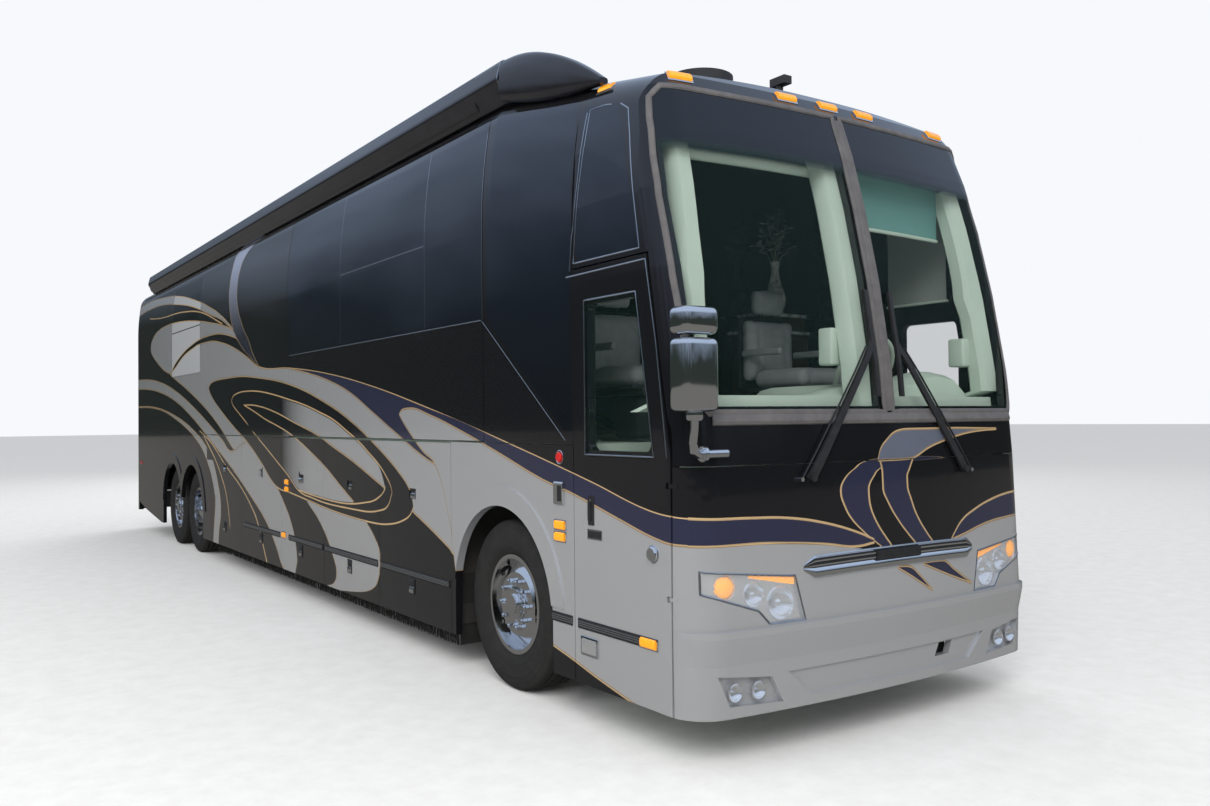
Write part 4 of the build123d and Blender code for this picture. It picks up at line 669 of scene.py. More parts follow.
def skin_of(*names):
    """A surface of CAD solids that rays can be cast on."""
    points, faces = [], []
    for name in names:
        start = len(points)
        node = nodes[name]
        points += [node.matrix_world @ vertex.co for vertex in node.data.vertices]
        faces += [[start + corner for corner in face.vertices] for face in node.data.polygons]
    return BVHTree.FromPolygons(points, faces)


nose_skin = skin_of("front_mask", "front_bumper", "windshields", "front_cap", "headlamps")
flank_skin = skin_of("right_wall", "left_wall", "front_cap", "rear_cap", "front_fenders", "rear_fenders",
                     "side_windows", "right_slideout", "left_slideout", "right_slideout_glass",
                     "left_slideout_glass", "entry_door", "entry_door_glass", "rear_bumper", "front_mask",
                     *bay_doors)


def on_shell(skin, start, way):
    """Where a ray meets the shell, moved a little where it would fall into a joint."""
    for nudge in (0.0, 0.003, -0.003, 0.007, -0.007, 0.015):
        hit = skin.ray_cast(start + Vector((0, 0, nudge)), way)
        if hit[0] is not None:
            normal = hit[1] if hit[1].dot(way) < 0 else -hit[1]
            return hit[0] - Vector((0, 0, nudge)), normal
    raise ValueError(f"nothing met at {start}")


ahead_of_nose = 7.5


def on_nose(y, z):
    """A place on the nose, with its outward direction."""
    return on_shell(nose_skin, Vector((ahead_of_nose, y, z)), Vector((-1, 0, 0)))


def on_flank(x, z, side):
    """A place on the side of the coach, with its outward direction."""
    return on_shell(flank_skin, Vector((x, side * 2.0, z)), Vector((0, -side, 0)))


def swept(bm, stations, section, closed=False, material=0):
    """Carries a section (across, outward) along places that each have an outward direction."""
    count = len(stations)
    rings = []
    for place, (centre, out) in enumerate(stations):
        before = stations[place - 1][0] if closed or place else stations[0][0]
        after = stations[(place + 1) % count][0] if closed or place < count - 1 else stations[-1][0]
        across = (after - before).cross(out).normalized()
        rings.append([centre + across * wide + out * high for wide, high in section])
    bridge(bm, rings, loop=closed, material=material)


def between(points, step=0.05, closed=False):
    """Adds points so that no gap along a line is longer than the step."""
    ends = zip(points, points[1:] + points[:1] if closed else points[1:])
    made = []
    for first, second in ends:
        cuts = max(1, math.ceil(math.dist(first, second) / step))
        made += [tuple(a + (b - a) * cut / cuts for a, b in zip(first, second)) for cut in range(cuts)]
    return made if closed else made + [tuple(points[-1])]


def flank_line(points, side, closed=False):
    """Places on the side of the coach along a line of (distance ahead, height)."""
    return [on_flank(front_axle_x + ahead, z, side) for ahead, z in between(points, closed=closed)]


def even(*half):
    """A section that is alike on both sides, from the points of one side."""
    other = [(across, out) for across, out in reversed(half) if across]
    return [(-across, out) for across, out in half] + other


seal = Finish("black_rubber_seal", Roughness=0.6, Specular_IOR_Level=0.3)
seal.worn((0.010, 0.010, 0.011), (0.028, 0.028, 0.030), 30.0, 4.0)
strip_metal = Finish("bright_edge_strip", Metallic=1.0)
strip_metal.worn((0.50, 0.53, 0.58), (0.66, 0.69, 0.74), 22.0, 4.0, gloss=(0.15, 0.15))

low_bead = even((0.0025, -0.003), (0.0025, 0.0006), (0.0012, 0.0014))
# Columns: name, body on the (right, left) side, distances ahead and heights of the line
glazing_lines = [
    ("slide_pane_rear", "slideout", [(-2.70, 2.262), (-2.70, 3.47)]),
    ("slide_pane_front", "slideout", [(-1.05, 2.262), (-1.05, 3.47)]),
    ("slide_pane_bar", "slideout", [(-2.69, 2.83), (-1.06, 2.83)]),
    ("slide_sill", "slideout", [(-4.07, 2.246), (-0.22, 2.246)]),
    ("panel_diagonal", "coach_body", [(-0.205, 2.235), (0.742, 1.512)]),
    ("panel_post", "coach_body", [(-0.205, 2.25), (-0.205, 3.42)]),
    ("bed_sill", "coach_body", [(-9.16, 2.246), (-7.58, 2.246)]),
    ("bed_front", "coach_body", [(-7.566, 2.255), (-7.566, 3.41)]),
    ("bed_rear", "coach_body", [(-9.174, 2.255), (-9.174, 3.41)]),
]
for side_name, side in sides:
    for name, owner, points in glazing_lines:
        body = owner if owner == "coach_body" else f"{side_name}_{owner}"
        bm = bmesh.new()
        swept(bm, flank_line(points, side), low_bead)
        solid(f"{side_name}_{name}_line", bm, strip_metal, body)

# Headlamps: a chromed reflector tray with deep bowls and facets, bulbs with bright caps, an
# amber turn strip along the top and outer end, behind a clear polycarbonate lens.
reflector = Finish("lamp_reflector", Metallic=0.85, Roughness=0.16)
reflector.worn((0.82, 0.84, 0.87), (0.93, 0.94, 0.95), 40.0, 3.0)
amber = Finish("amber_lens", Roughness=0.18, Coat_Weight=0.5)
prisms_and_glow = amber.cells(160.0)
amber.feed("Base Color", prisms_and_glow.mixed((0.88, 0.27, 0.010), (1.0, 0.44, 0.02)))
# Painted glow: a faint orange emission on every amber lens, so it shines with no lamp behind it.
amber.feed("Emission Color", prisms_and_glow.mixed((0.12, 0.035, 0.0), (0.20, 0.075, 0.0)))
amber.shader.inputs["Emission Strength"].default_value = 1.0
lens = Finish("clear_lens", Roughness=0.03, Alpha=0.16, Coat_Weight=0.4)
lens.worn((0.80, 0.84, 0.86), (0.92, 0.94, 0.95), 12.0, 4.0)
lamp_edge = [(0.657, 0.650), (0.879, 0.650), (0.944, 0.718), (1.234, 0.8135), (1.234, 0.922), (0.7135, 0.870)]
# Columns: centre across, height, radius, depth
lamp_bowls = [(0.800, 0.742, 0.074, 0.052), (0.955, 0.793, 0.055, 0.040)]
turn_lamp = (1.115, 0.841, 0.050)
grid_y, grid_z, cell, grid_rows, grid_columns = 0.652, 0.646, 0.004, 70, 147


def lamp_depth(y, z):
    """How far the tray lies behind the lens, and whether it is amber there."""
    edge_z = 0.870 + (y - 0.7135) * 0.1
    below = edge_z - 0.010 - z
    if 0.715 < y < 0.990 and 0 < below < 0.012 + (0.990 - y) * 0.095:
        return 0.008, 1
    share = math.dist((y, z), turn_lamp[:2]) / turn_lamp[2]
    if share < 1:
        return 0.018 - 0.012 * (1 - share * share), 1
    if share < 1.12:
        return 0.026, 0
    depth = 0.016 + 0.0004 * math.sin(y * 260) * math.sin(z * 260)
    for bowl_y, bowl_z, bowl_r, bowl_depth in lamp_bowls:
        share = math.dist((y, z), (bowl_y, bowl_z)) / bowl_r
        if share < 1:
            depth = max(depth, 0.012 + bowl_depth * (1 - share * share) ** 0.6)
        elif share < 1.08:
            depth = 0.008
    return depth, 0


def inside_edge(y, z, edge):
    """True where a point is within an outline."""
    inside = False
    for (ya, za), (yb, zb) in zip(edge, edge[1:] + edge[:1]):
        if (za > z) != (zb > z) and y < (yb - ya) * (z - za) / (zb - za) + ya:
            inside = not inside
    return inside


for side_name, side in sides:
    shell, tray = bmesh.new(), bmesh.new()
    outer_points, inner_points = {}, {}
    for row in range(grid_rows + 1):
        for column in range(grid_columns + 1):
            y, z = grid_y + column * cell, grid_z + row * cell
            place = on_nose(side * y, z)[0]
            outer_points[column, row] = shell.verts.new(place - Vector((0.0015, 0, 0)))
            inner_points[column, row] = tray.verts.new(place - Vector((lamp_depth(y, z)[0], 0, 0)))
    for row in range(grid_rows):
        for column in range(grid_columns):
            y, z = grid_y + (column + 0.5) * cell, grid_z + (row + 0.5) * cell
            if inside_edge(y, z, lamp_edge):
                corners = ((column, row), (column + 1, row), (column + 1, row + 1), (column, row + 1))
                shell.faces.new([outer_points[corner] for corner in corners])
                face = tray.faces.new([inner_points[corner] for corner in corners])
                face.material_index = lamp_depth(y, z)[1]
    for work in (shell, tray):
        bmesh.ops.delete(work, geom=[vert for vert in work.verts if not vert.link_faces], context="VERTS")
        for face in work.faces:
            face.normal_update()
            if face.normal.x < 0:
                face.normal_flip()
    for bowl_y, bowl_z, bowl_r, bowl_depth in lamp_bowls:
        centre = on_nose(side * bowl_y, bowl_z)[0] + Vector((-0.012 - bowl_depth * 0.55, 0, 0))
        bmesh.ops.create_uvsphere(tray, u_segments=20, v_segments=12, radius=bowl_r * 0.34,
                                  matrix=Matrix.Translation(centre) @ Matrix.Diagonal((1.1, 1, 1, 1)))
    solid(f"{side_name}_headlamp_lens", shell, lens, open_shell=True)
    piece = solid(f"{side_name}_headlamp_tray", tray, [reflector, amber], open_shell=True)
    if side < 0:
        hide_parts("headlamps")

surround_edge = [(0.660, 0.653), (0.877, 0.653), (0.942, 0.721), (1.231, 0.8165), (1.231, 0.919),
                 (0.716, 0.8675)]
for side_name, side in sides:
    bm = bmesh.new()
    surround = [on_nose(side * y, z) for y, z in between(surround_edge, 0.02, True)]
    swept(bm, surround, even((0.0045, -0.002), (0.0045, 0.0012), (0.0, 0.0026)), True)
    solid(f"{side_name}_headlamp_surround", bm, strip_metal)

# Fog lamps in the bumper pockets: round chromed bowls with a rolled rim and a bulb cap.


def spun(bm, place, outline, steps):
    """Spins an outline (ahead, radius) about a line that runs ahead through a place."""
    bridge(bm, [[place + Vector((ahead, radius * math.cos(angle), radius * math.sin(angle)))
                 for ahead, radius in outline] for angle in angles(steps)], loop=True, open_run=True)


fog_outline = [(0.0, 0.044), (0.004, 0.0435), (0.0055, 0.040), (0.002, 0.036), (-0.004, 0.034),
               (-0.012, 0.026), (-0.017, 0.014), (-0.018, 0.006), (-0.010, 0.0055), (-0.006, 0.003),
               (-0.0055, 0.0002)]
fog_places = [(1.068, 0.352), (0.935, 0.349)]
for side_name, side in sides:
    for lamp, (off, height) in enumerate(fog_places, 1):
        place = on_nose(side * off, height)[0]
        bm = bmesh.new()
        spun(bm, place, fog_outline, 40)
        solid(f"{side_name}_fog_lamp_{lamp}", bm, reflector)

# Trim bar across the mask: an extruded chrome moulding with bright ribs on black, tapered
# at each end and screwed to the mask. A blank black plate covers its middle.
bar_section = [(-0.055, 0.0), (-0.055, 0.006), (-0.050, 0.012), (-0.036, 0.017), (-0.022, 0.017),
               (-0.012, 0.012), (-0.006, 0.008), (-0.002, 0.008), (0.000, 0.013), (0.008, 0.013),
               (0.010, 0.008), (0.020, 0.008), (0.022, 0.013), (0.030, 0.013), (0.032, 0.008),
               (0.040, 0.008), (0.046, 0.012), (0.053, 0.010), (0.055, 0.004), (0.055, 0.0)]
bar_half, bar_steps = 0.66, 60
bm = bmesh.new()
rings = []
for step in range(bar_steps + 1):
    y = bar_half * (2 * step / bar_steps - 1)
    taper = min(1.0, 0.25 + (bar_half - abs(y)) / 0.09)
    middle_z = 0.897 + 0.010 * (1 - (y / bar_half) ** 2)
    ring = []
    for high, out in bar_section:
        place, normal = on_nose(y, middle_z + high * taper)
        ring.append(bm.verts.new(place + normal * (out * taper - 0.0005)))
    rings.append(ring)
for ring, after in zip(rings, rings[1:]):
    for first in range(len(bar_section)):
        second = (first + 1) % len(bar_section)
        face = bm.faces.new((ring[first], ring[second], after[second], after[first]))
        dark = abs(0.5 * (bar_section[first][0] + bar_section[second][0]) - 0.015) < 0.022
        face.material_index = 1 if dark and max(bar_section[first][1], bar_section[second][1]) < 0.009 else 0
bm.faces.new(rings[0])
bm.faces.new(rings[-1][::-1])
solid("nose_trim_bar", bm, [chrome, seal])
bm = bmesh.new()
swept(bm, [on_nose(y, 0.918) for y in (-0.17, -0.12, -0.06, 0.0, 0.06, 0.12, 0.17)],
      even((0.024, 0.004), (0.024, 0.016), (0.021, 0.019)))
solid("trim_bar_blank", bm, seal)

# Clearance and marker lamps: amber lenses on chrome feet along the brow, and small ones low
# on each side. They are screwed to the shell.


def lamp_block(bm, stations, half_width, height, material=0):
    """A domed lens or plate, laid along the shell."""
    section = [(-half_width, -0.004), (-half_width, height * 0.35), (-half_width * 0.72, height * 0.85),
               (-half_width * 0.3, height), (half_width * 0.3, height), (half_width * 0.72, height * 0.85),
               (half_width, height * 0.35), (half_width, -0.004)]
    swept(bm, stations, section, material=material)


red_glow = Finish("red_lens", Roughness=0.16, Coat_Weight=0.6)
red_glow.feed("Base Color", red_glow.cells(140.0).mixed((0.36, 0.006, 0.006), (0.60, 0.02, 0.015)))
brow_places = (-1.02, -0.33, -0.02, 0.28, 0.97)
bm = bmesh.new()
for y in brow_places:
    foot = [on_nose(y + step, 3.345) for step in (-0.072, -0.036, 0.0, 0.036, 0.072)]
    lamp_block(bm, foot, 0.033, 0.008, 0)
    dome = [on_nose(y + step, 3.346) for step in (-0.064, -0.032, 0.0, 0.032, 0.064)]
    lamp_block(bm, dome, 0.027, 0.022, 1)
solid("brow_clearance_lamps", bm, [chrome, amber])

# Columns: name, distance ahead, height, half length, half height, lens
side_lamps = [
    ("brow_side_marker", 0.985, 3.385, 0.045, 0.030, amber),
    ("door_marker_upper", 0.685, 1.052, 0.048, 0.024, amber),
    ("door_marker_lower", 0.685, 0.988, 0.048, 0.024, amber),
    ("bay_marker_upper", -4.143, 1.063, 0.048, 0.024, amber),
    ("bay_marker_lower", -4.143, 0.996, 0.048, 0.024, amber),
    ("skirt_reflector", -4.24, 0.557, 0.050, 0.026, amber),
    ("door_reflector", 1.475, 0.548, 0.060, 0.024, amber),
    ("tail_side_marker", -11.35, 1.03, 0.050, 0.022, red_glow),
]
for side_name, side in sides:
    for name, ahead, z, half, high, lens_finish in side_lamps:
        middle = front_axle_x + ahead
        body = "entry_door" if name == "door_reflector" and side < 0 else "coach_body"
        if name in ("bay_marker_upper", "bay_marker_lower", "skirt_reflector"):
            body = f"{side_name}_bay_door_3"
        bm = bmesh.new()
        rim = [on_flank(middle + half * 1.25 * share, z, side) for share in (-1, -0.5, 0, 0.5, 1)]
        lamp_block(bm, rim, high * 1.25, 0.006, 0)
        dome = [on_flank(middle + half * share, z, side) for share in (-1, -0.5, 0, 0.5, 1)]
        lamp_block(bm, dome, high, 0.014, 1)
        solid(f"{side_name}_{name}", bm, [chrome, lens_finish], body)

# Mirrors: die-cast heads in chrome, a tall one with a small wide-angle one above it, on a
# chrome arm from the cowl corner. The reflecting faces look backwards.
mirror_face = Finish("mirror_glass", Metallic=1.0, Roughness=0.02)
mirror_face.worn((0.86, 0.88, 0.90), (0.93, 0.94, 0.95), 6.0, 3.0)


def rounded(bm, low, high, radius, segments=4, material=0):
    """A box with every edge rounded."""
    centre = [(a + b) / 2 for a, b in zip(low, high)]
    size = [b - a for a, b in zip(low, high)]
    place = Matrix.Translation(centre) @ Matrix.Diagonal((*size, 1))
    made = bmesh.ops.create_cube(bm, size=1.0, matrix=place)
    faces = {face for vert in made["verts"] for face in vert.link_faces}
    for face in faces:
        face.material_index = material
    edges = {edge for vert in made["verts"] for edge in vert.link_edges}
    bmesh.ops.bevel(bm, geom=list(edges), offset=radius, segments=segments, profile=0.5, affect="EDGES",
                    clamp_overlap=True, material=material)


def tube(bm, path, radius, steps=14, material=0):
    """A round bar along a path of places."""
    path = [Vector(place) for place in path]
    along = (path[-1] - path[0]).normalized()
    side_way = Vector((0, 0, 1)) if abs(along.z) < 0.8 else Vector((1, 0, 0))
    ring_section = [(radius * math.cos(angle), radius * math.sin(angle)) for angle in angles(steps)]
    stations = []
    for place, centre in enumerate(path):
        before = path[max(0, place - 1)]
        after = path[min(len(path) - 1, place + 1)]
        run = (after - before).normalized()
        stations.append((centre, (side_way - run * side_way.dot(run)).normalized()))
    swept(bm, stations, ring_section, material=material)


# Columns: side, its name, distance ahead, distance out, height of the foot
mirror_heads = [(-1, "right", (1.780, 1.915), (1.204, 1.409), 1.440),
                (1, "left", (1.320, 1.525), (1.312, 1.409), 1.500)]
for side, side_name, ahead, out, foot_z in mirror_heads:
    low_x, high_x = front_axle_x + ahead[0], front_axle_x + ahead[1]
    inner, outer = sorted((side * out[0], side * out[1]))
    folded = side > 0
    bm = bmesh.new()
    for low_z, high_z in ((1.655, 1.990), (2.002, 2.130)):
        rounded(bm, (low_x, inner, low_z), (high_x, outer, high_z), 0.034, 5)
        if folded:
            glass_low = (low_x + 0.018, inner - 0.004, low_z + 0.02)
            glass_high = (high_x - 0.018, inner + 0.006, high_z - 0.02)
        else:
            glass_low = (low_x, inner + 0.018, low_z + 0.02)
            glass_high = (low_x + 0.008, outer - 0.018, high_z - 0.02)
        rounded(bm, glass_low, glass_high, 0.0035, 2, material=1)
    middle_x, middle_y = (low_x + high_x) / 2, (inner + outer) / 2
    rounded(bm, (middle_x - 0.034, middle_y - 0.030, 1.612), (middle_x + 0.034, middle_y + 0.030, 1.672),
            0.016, 4)
    foot_x, arm_z = middle_x - 0.02, foot_z + 0.022
    root = 1.10 if side < 0 else 1.285
    bend = middle_y - side * 0.035
    tube(bm, [(middle_x, middle_y, 1.66), (middle_x - 0.004, middle_y, 1.58),
              (middle_x - 0.010, middle_y, arm_z + 0.045),
              (middle_x - 0.014, middle_y - side * 0.008, arm_z + 0.015), (foot_x, bend, arm_z),
              (foot_x, (bend + side * root) / 2, arm_z), (foot_x, side * root, arm_z)], 0.0205, 18)
    if side < 0:
        for radius, height in ((0.036, 0.012), (0.030, 0.022)):
            tube(bm, [(foot_x, side * 1.232, arm_z), (foot_x, side * (1.236 + height), arm_z)], radius, 20)
    facing = rubber if folded else mirror_face
    mirror = solid(f"{side_name}_mirror_heads", bm, [chrome, facing])
    if side < 0:
        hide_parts("side_mirrors")

# Wipers: the arms and blades of the part in satin black, with a bright cap nut on each
# spindle, a parallel link rod beside the arm and a washer tube clipped along it.
satin = Finish("satin_black_metal", Metallic=0.2)
satin.worn((0.012, 0.012, 0.013), (0.035, 0.035, 0.037), 26.0, 5.0, gloss=(0.25, 0.30))
dress(satin, "wipers")
link_foot_y, link_tip_y, link_foot_z, link_tip_z = 0.665, 0.150, 1.325, 1.99


def part_way(first, last, share):
    return first + (last - first) * share


for side_name, side in sides:
    bm = bmesh.new()
    links = []
    for share in (0.0, 0.2, 0.4, 0.6, 0.8, 1.0):
        y, z = part_way(link_foot_y, link_tip_y, share), part_way(link_foot_z, link_tip_z, share)
        links.append(on_nose(side * y, z)[0] + Vector((0.020, 0, 0)))
    tube(bm, links, 0.0055, 10)
    foot = on_nose(side * 0.570, 1.332)[0]
    foot.y = side * 0.601
    nut_face = foot + Vector((0.024, 0, 0))
    tube(bm, [nut_face - Vector((0.030, 0, 0)), nut_face, nut_face + Vector((0.008, 0, 0))], 0.017, 20, 1)
    link_foot = on_nose(side * link_foot_y, link_foot_z)[0]
    tube(bm, [link_foot - Vector((0.005, 0, 0)), link_foot + Vector((0.026, 0, 0))], 0.011, 16, material=1)
    solid(f"{side_name}_wiper_link", bm, [satin, chrome])
    bm = bmesh.new()
    blade = [(on_nose(side * 0.095, z)[0] + Vector((0.001, 0, 0)), Vector((1, 0, 0)))
             for z in (1.735, 1.80, 1.90, 2.00, 2.10, 2.20, 2.285)]
    swept(bm, blade, even((0.004, -0.001), (0.0012, 0.010)))
    solid(f"{side_name}_wiper_rubber", bm, seal)

# Bay and door fittings: square black latch plates with chrome paddles, the entry door's
# handle, lock, key plate and step light, and the lock box and bell push beside the door.
latch_dish = [(0.0, 0.034), (0.0025, 0.034), (0.004, 0.031), (0.0025, 0.028), (-0.001, 0.026),
              (-0.001, 0.0225)]
latch_knob = [(-0.001, 0.0225), (0.004, 0.022), (0.0065, 0.018), (0.007, 0.006), (0.007, 0.0002)]


def button(bm, ahead, z, side, outline, scale=1.0, material=0):
    """A turned fitting whose axis stands out from the side of the coach."""
    place, normal = on_flank(front_axle_x + ahead, z, side)
    flat = (Vector((0, 0, 1)) - normal * normal.z).normalized()
    across = normal.cross(flat)
    rings = []
    for angle in angles(32):
        spoke = flat * math.cos(angle) + across * math.sin(angle)
        rings.append([place + normal * out + spoke * radius * scale for out, radius in outline])
    bridge(bm, rings, loop=True, open_run=True, material=material)


def flat_plate(bm, ahead, z, side, half, profile, material=0):
    """A plate laid on the side of the coach, from its profile of (height, outward) points."""
    stations = [on_flank(front_axle_x + ahead + half * share, z, side) for share in (-1, -0.5, 0, 0.5, 1)]
    swept(bm, stations, [(high * side, out) for high, out in profile], material=material)


latch_plate = even((0.056, -0.002), (0.056, 0.002), (0.051, 0.0045))
latch_paddle = [(-0.046, 0.003), (-0.046, 0.009), (-0.040, 0.012), (-0.014, 0.011), (-0.004, 0.006),
                (-0.004, 0.003)]
latch_hood = [(0.012, 0.003), (0.016, 0.008), (0.040, 0.008), (0.045, 0.003)]
latch_places, latch_heights = (-6.41, -4.99, -3.74, -2.51, -1.285), (1.122, 0.460)
for side_name, side in sides:
    for door, ahead in enumerate(latch_places, 1):
        bm = bmesh.new()
        for z in latch_heights:
            flat_plate(bm, ahead, z, side, 0.044, latch_plate)
            flat_plate(bm, ahead, z, side, 0.036, latch_paddle, 1)
            flat_plate(bm, ahead, z, side, 0.036, latch_hood)
        solid(f"{side_name}_bay_latches_{door}", bm, [satin, chrome],
              f"{side_name}_bay_door_{door}")

bm = bmesh.new()
pull_path = [on_flank(front_axle_x + 0.988, 1.075 + 0.025 * step, -1) for step in range(7)]
swept(bm, pull_path, even((0.027, -0.003), (0.027, 0.003), (0.021, 0.007)), material=1)
swept(bm, pull_path[1:-1], even((0.012, 0.005), (0.011, 0.016), (0.006, 0.020)), material=1)
button(bm, 0.988, 1.205, -1, latch_knob, 0.9)
button(bm, 1.516, 0.98, -1, latch_dish, 1.3)
button(bm, 1.516, 0.98, -1, [(out * 3, radius) for out, radius in latch_knob], 1.7)
solid("entry_door_handle", bm, [chrome, satin], "entry_door")
bm = bmesh.new()
flat_plate(bm, 1.02, 1.028, -1, 0.066, even((0.026, -0.002), (0.026, 0.003)))
flat_plate(bm, 1.02, 1.028, -1, 0.058, even((0.019, 0.002), (0.018, 0.005)), 1)
solid("entry_door_key_plate", bm, [strip_metal, satin], "entry_door")
bm = bmesh.new()
flat_plate(bm, 0.681, 1.225, -1, 0.046, even((0.062, -0.003), (0.062, 0.008), (0.054, 0.014)))
flat_plate(bm, 0.694, 1.225, -1, 0.017, even((0.044, 0.012), (0.043, 0.0165)), 1)
button(bm, 0.683, 1.421, -1, latch_dish, 1.15)
button(bm, 0.683, 1.421, -1, [(out * 2, radius) for out, radius in latch_knob], 1.25, 2)
solid("door_side_lock_and_bell", bm, [chrome, satin, red_glow])
bm = bmesh.new()
flat_plate(bm, 0.966, 0.440, -1, 0.078, even((0.050, -0.002), (0.050, 0.004), (0.045, 0.007)))
flat_plate(bm, 0.966, 0.440, -1, 0.066, even((0.038, 0.006), (0.036, 0.010)), 1)
solid("entry_door_step_light", bm, [chrome, reflector], "entry_door")

# The cab behind the screens: a pale green padded dash top with an instrument hood, post
# trims, the shade cassettes and one roller shade. They are moulded plastic and cloth.
lining = Finish("cab_lining", Roughness=0.7, Specular_IOR_Level=0.3)
lining.worn((0.40, 0.50, 0.42), (0.48, 0.58, 0.49), 5.0, 4.0)
lining.bump(lining.noise(420.0, 2.0), 0.12, 0.001)
dress(lining, "dashboard", "cabin_floor")
screen_skin = skin_of("windshields")


def behind_screen(y, z, gap):
    """A place inside the windscreen, at a gap behind it."""
    hit = screen_skin.ray_cast(Vector((ahead_of_nose, y, z)), Vector((-1, 0, 0)))
    return (hit[0].x if hit[0] is not None else front_axle_x + 1.36) - gap


# Columns: across, then height of the dash top there
hood_line = [(-1.10, 1.60), (-0.72, 1.645), (-0.3, 1.74), (0.08, 1.805), (0.26, 1.775), (0.45, 1.83),
             (0.70, 1.885), (0.88, 1.87), (1.02, 1.80), (1.10, 1.70)]
bm = bmesh.new()
rows = []
for step in range(45):
    y = -1.10 + 2.20 * step / 44
    index = max(place for place, (across, rise) in enumerate(hood_line[:-1]) if across <= y + 1e-6)
    (ya, za), (yb, zb) = hood_line[index], hood_line[index + 1]
    share = (y - ya) / (yb - ya)
    share = share * share * (3 - 2 * share)
    top = part_way(za, zb, share)
    front = behind_screen(y, 1.70, 0.16)
    profile = [(front, 1.60), (front - 0.01, min(top, 1.66)), (front - 0.05, top - 0.03), (front - 0.11, top),
               (front - 0.20, top + 0.004), (front - 0.30, top - 0.012), (front - 0.36, top - 0.05),
               (front - 0.38, 1.62)]
    rows.append([(x, y, z) for x, z in profile])
bridge(bm, rows)
solid("dash_hood", bm, lining)

# Columns: across at the foot, across at the head, width, foot height, head height
post_trims = [(-1.145, -1.07, 0.115, 1.66, 3.0), (1.140, 1.06, 0.135, 1.66, 3.0),
              (-0.11, -0.10, 0.120, 1.66, 3.10)]
bm = bmesh.new()
for foot_y, head_y, width, foot_z, head_z in post_trims:
    rings = []
    for step in range(13):
        share = step / 12
        y, z = part_way(foot_y, head_y, share), part_way(foot_z, head_z, share)
        swell = 1 + 0.35 * max(0.0, 1 - abs(z - 2.35) / 0.12) * (abs(foot_y) > 0.5)
        half = width * swell / 2
        x = min(behind_screen(y - half, z, 0.05), behind_screen(y + half, z, 0.05))
        rings.append([(x, y - half * 0.7, z), (x, y + half * 0.7, z), (x - 0.03, y + half, z),
                      (x - 0.10, y + half, z), (x - 0.12, y + half * 0.7, z), (x - 0.12, y - half * 0.7, z),
                      (x - 0.10, y - half, z), (x - 0.03, y - half, z)])
    bridge(bm, rings)
centre_x = behind_screen(-0.11, 2.02, 0.10)
rounded(bm, (centre_x - 0.16, -0.205, 1.90), (centre_x - 0.06, -0.120, 2.10), 0.014, 3)
corner_x = behind_screen(1.10, 2.00, 0.10)
rounded(bm, (corner_x - 0.16, 0.990, 1.92), (corner_x - 0.05, 1.130, 2.09), 0.014, 3)
solid("post_trims", bm, lining)

shade_cloth = Finish("shade_cloth", Roughness=0.9, Specular_IOR_Level=0.1)
weave = shade_cloth.bands("Z", 120.0, 0.4)
shade_cloth.feed("Base Color", weave.mixed((0.10, 0.24, 0.22), (0.16, 0.32, 0.29)))
shade_cloth.bump(weave, 0.3, 0.001)
shade_near, shade_far, shade_foot, shade_head = 0.06, 1.00, 2.70, 3.02


def shade_places(steps):
    """Places across the shade: distance ahead and across, with the ends included."""
    across = [part_way(shade_near, shade_far, step / steps) for step in range(steps + 1)]
    return [(behind_screen(y, 2.9, 0.16), y) for y in across]


bm = bmesh.new()
rows = []
for x, y in shade_places(16):
    wave = 0.002 * math.sin(y * 31)
    rows.append([(x + wave, y, shade_foot), (x, y, shade_head), (x - 0.003, y, shade_head),
                 (x - 0.003 + wave, y, shade_foot)])
bridge(bm, rows)
bar = bmesh.new()
tube(bar, [(x - 0.002, y, shade_foot) for x, y in shade_places(8)], 0.011, 10)
roller_shade = solid("driver_roller_shade", bm, shade_cloth)
shade_bar = solid("driver_shade_bar", bar, lining)
bm = bmesh.new()
for low_y, high_y in ((-1.06, -0.08), (0.05, 1.04)):
    across = [part_way(low_y, high_y, step / 10) for step in range(11)]
    cassette = [(behind_screen(y, 3.02, 0.18), y, 3.03 if low_y > 0 else 2.985) for y in across]
    tube(bm, cassette, 0.032, 16)
solid("shade_cassettes", bm, lining)

# Screen gaskets: grey rubber frames that hold the two screens, with a broad bar down the
# middle and a heavy sill below, all pressed over the edge of the glass.
gasket = Finish("screen_gasket", Roughness=0.42, Specular_IOR_Level=0.5)
gasket.worn((0.060, 0.056, 0.056), (0.145, 0.135, 0.132), 16.0, 5.0)
gasket_section = even((0.017, -0.004), (0.017, 0.003), (0.011, 0.009), (0.0, 0.011))
screen_foot, screen_top = 1.645, 3.285


def screen_side(z):
    """How far the outer edge of a screen lies from the middle, at a height."""
    low, high = 0.3, 1.29
    for _ in range(26):
        middle = (low + high) / 2
        hit = screen_skin.ray_cast(Vector((ahead_of_nose, middle, z)), Vector((-1, 0, 0)))
        if hit[0] is not None:
            low = middle
        else:
            high = middle
    return low


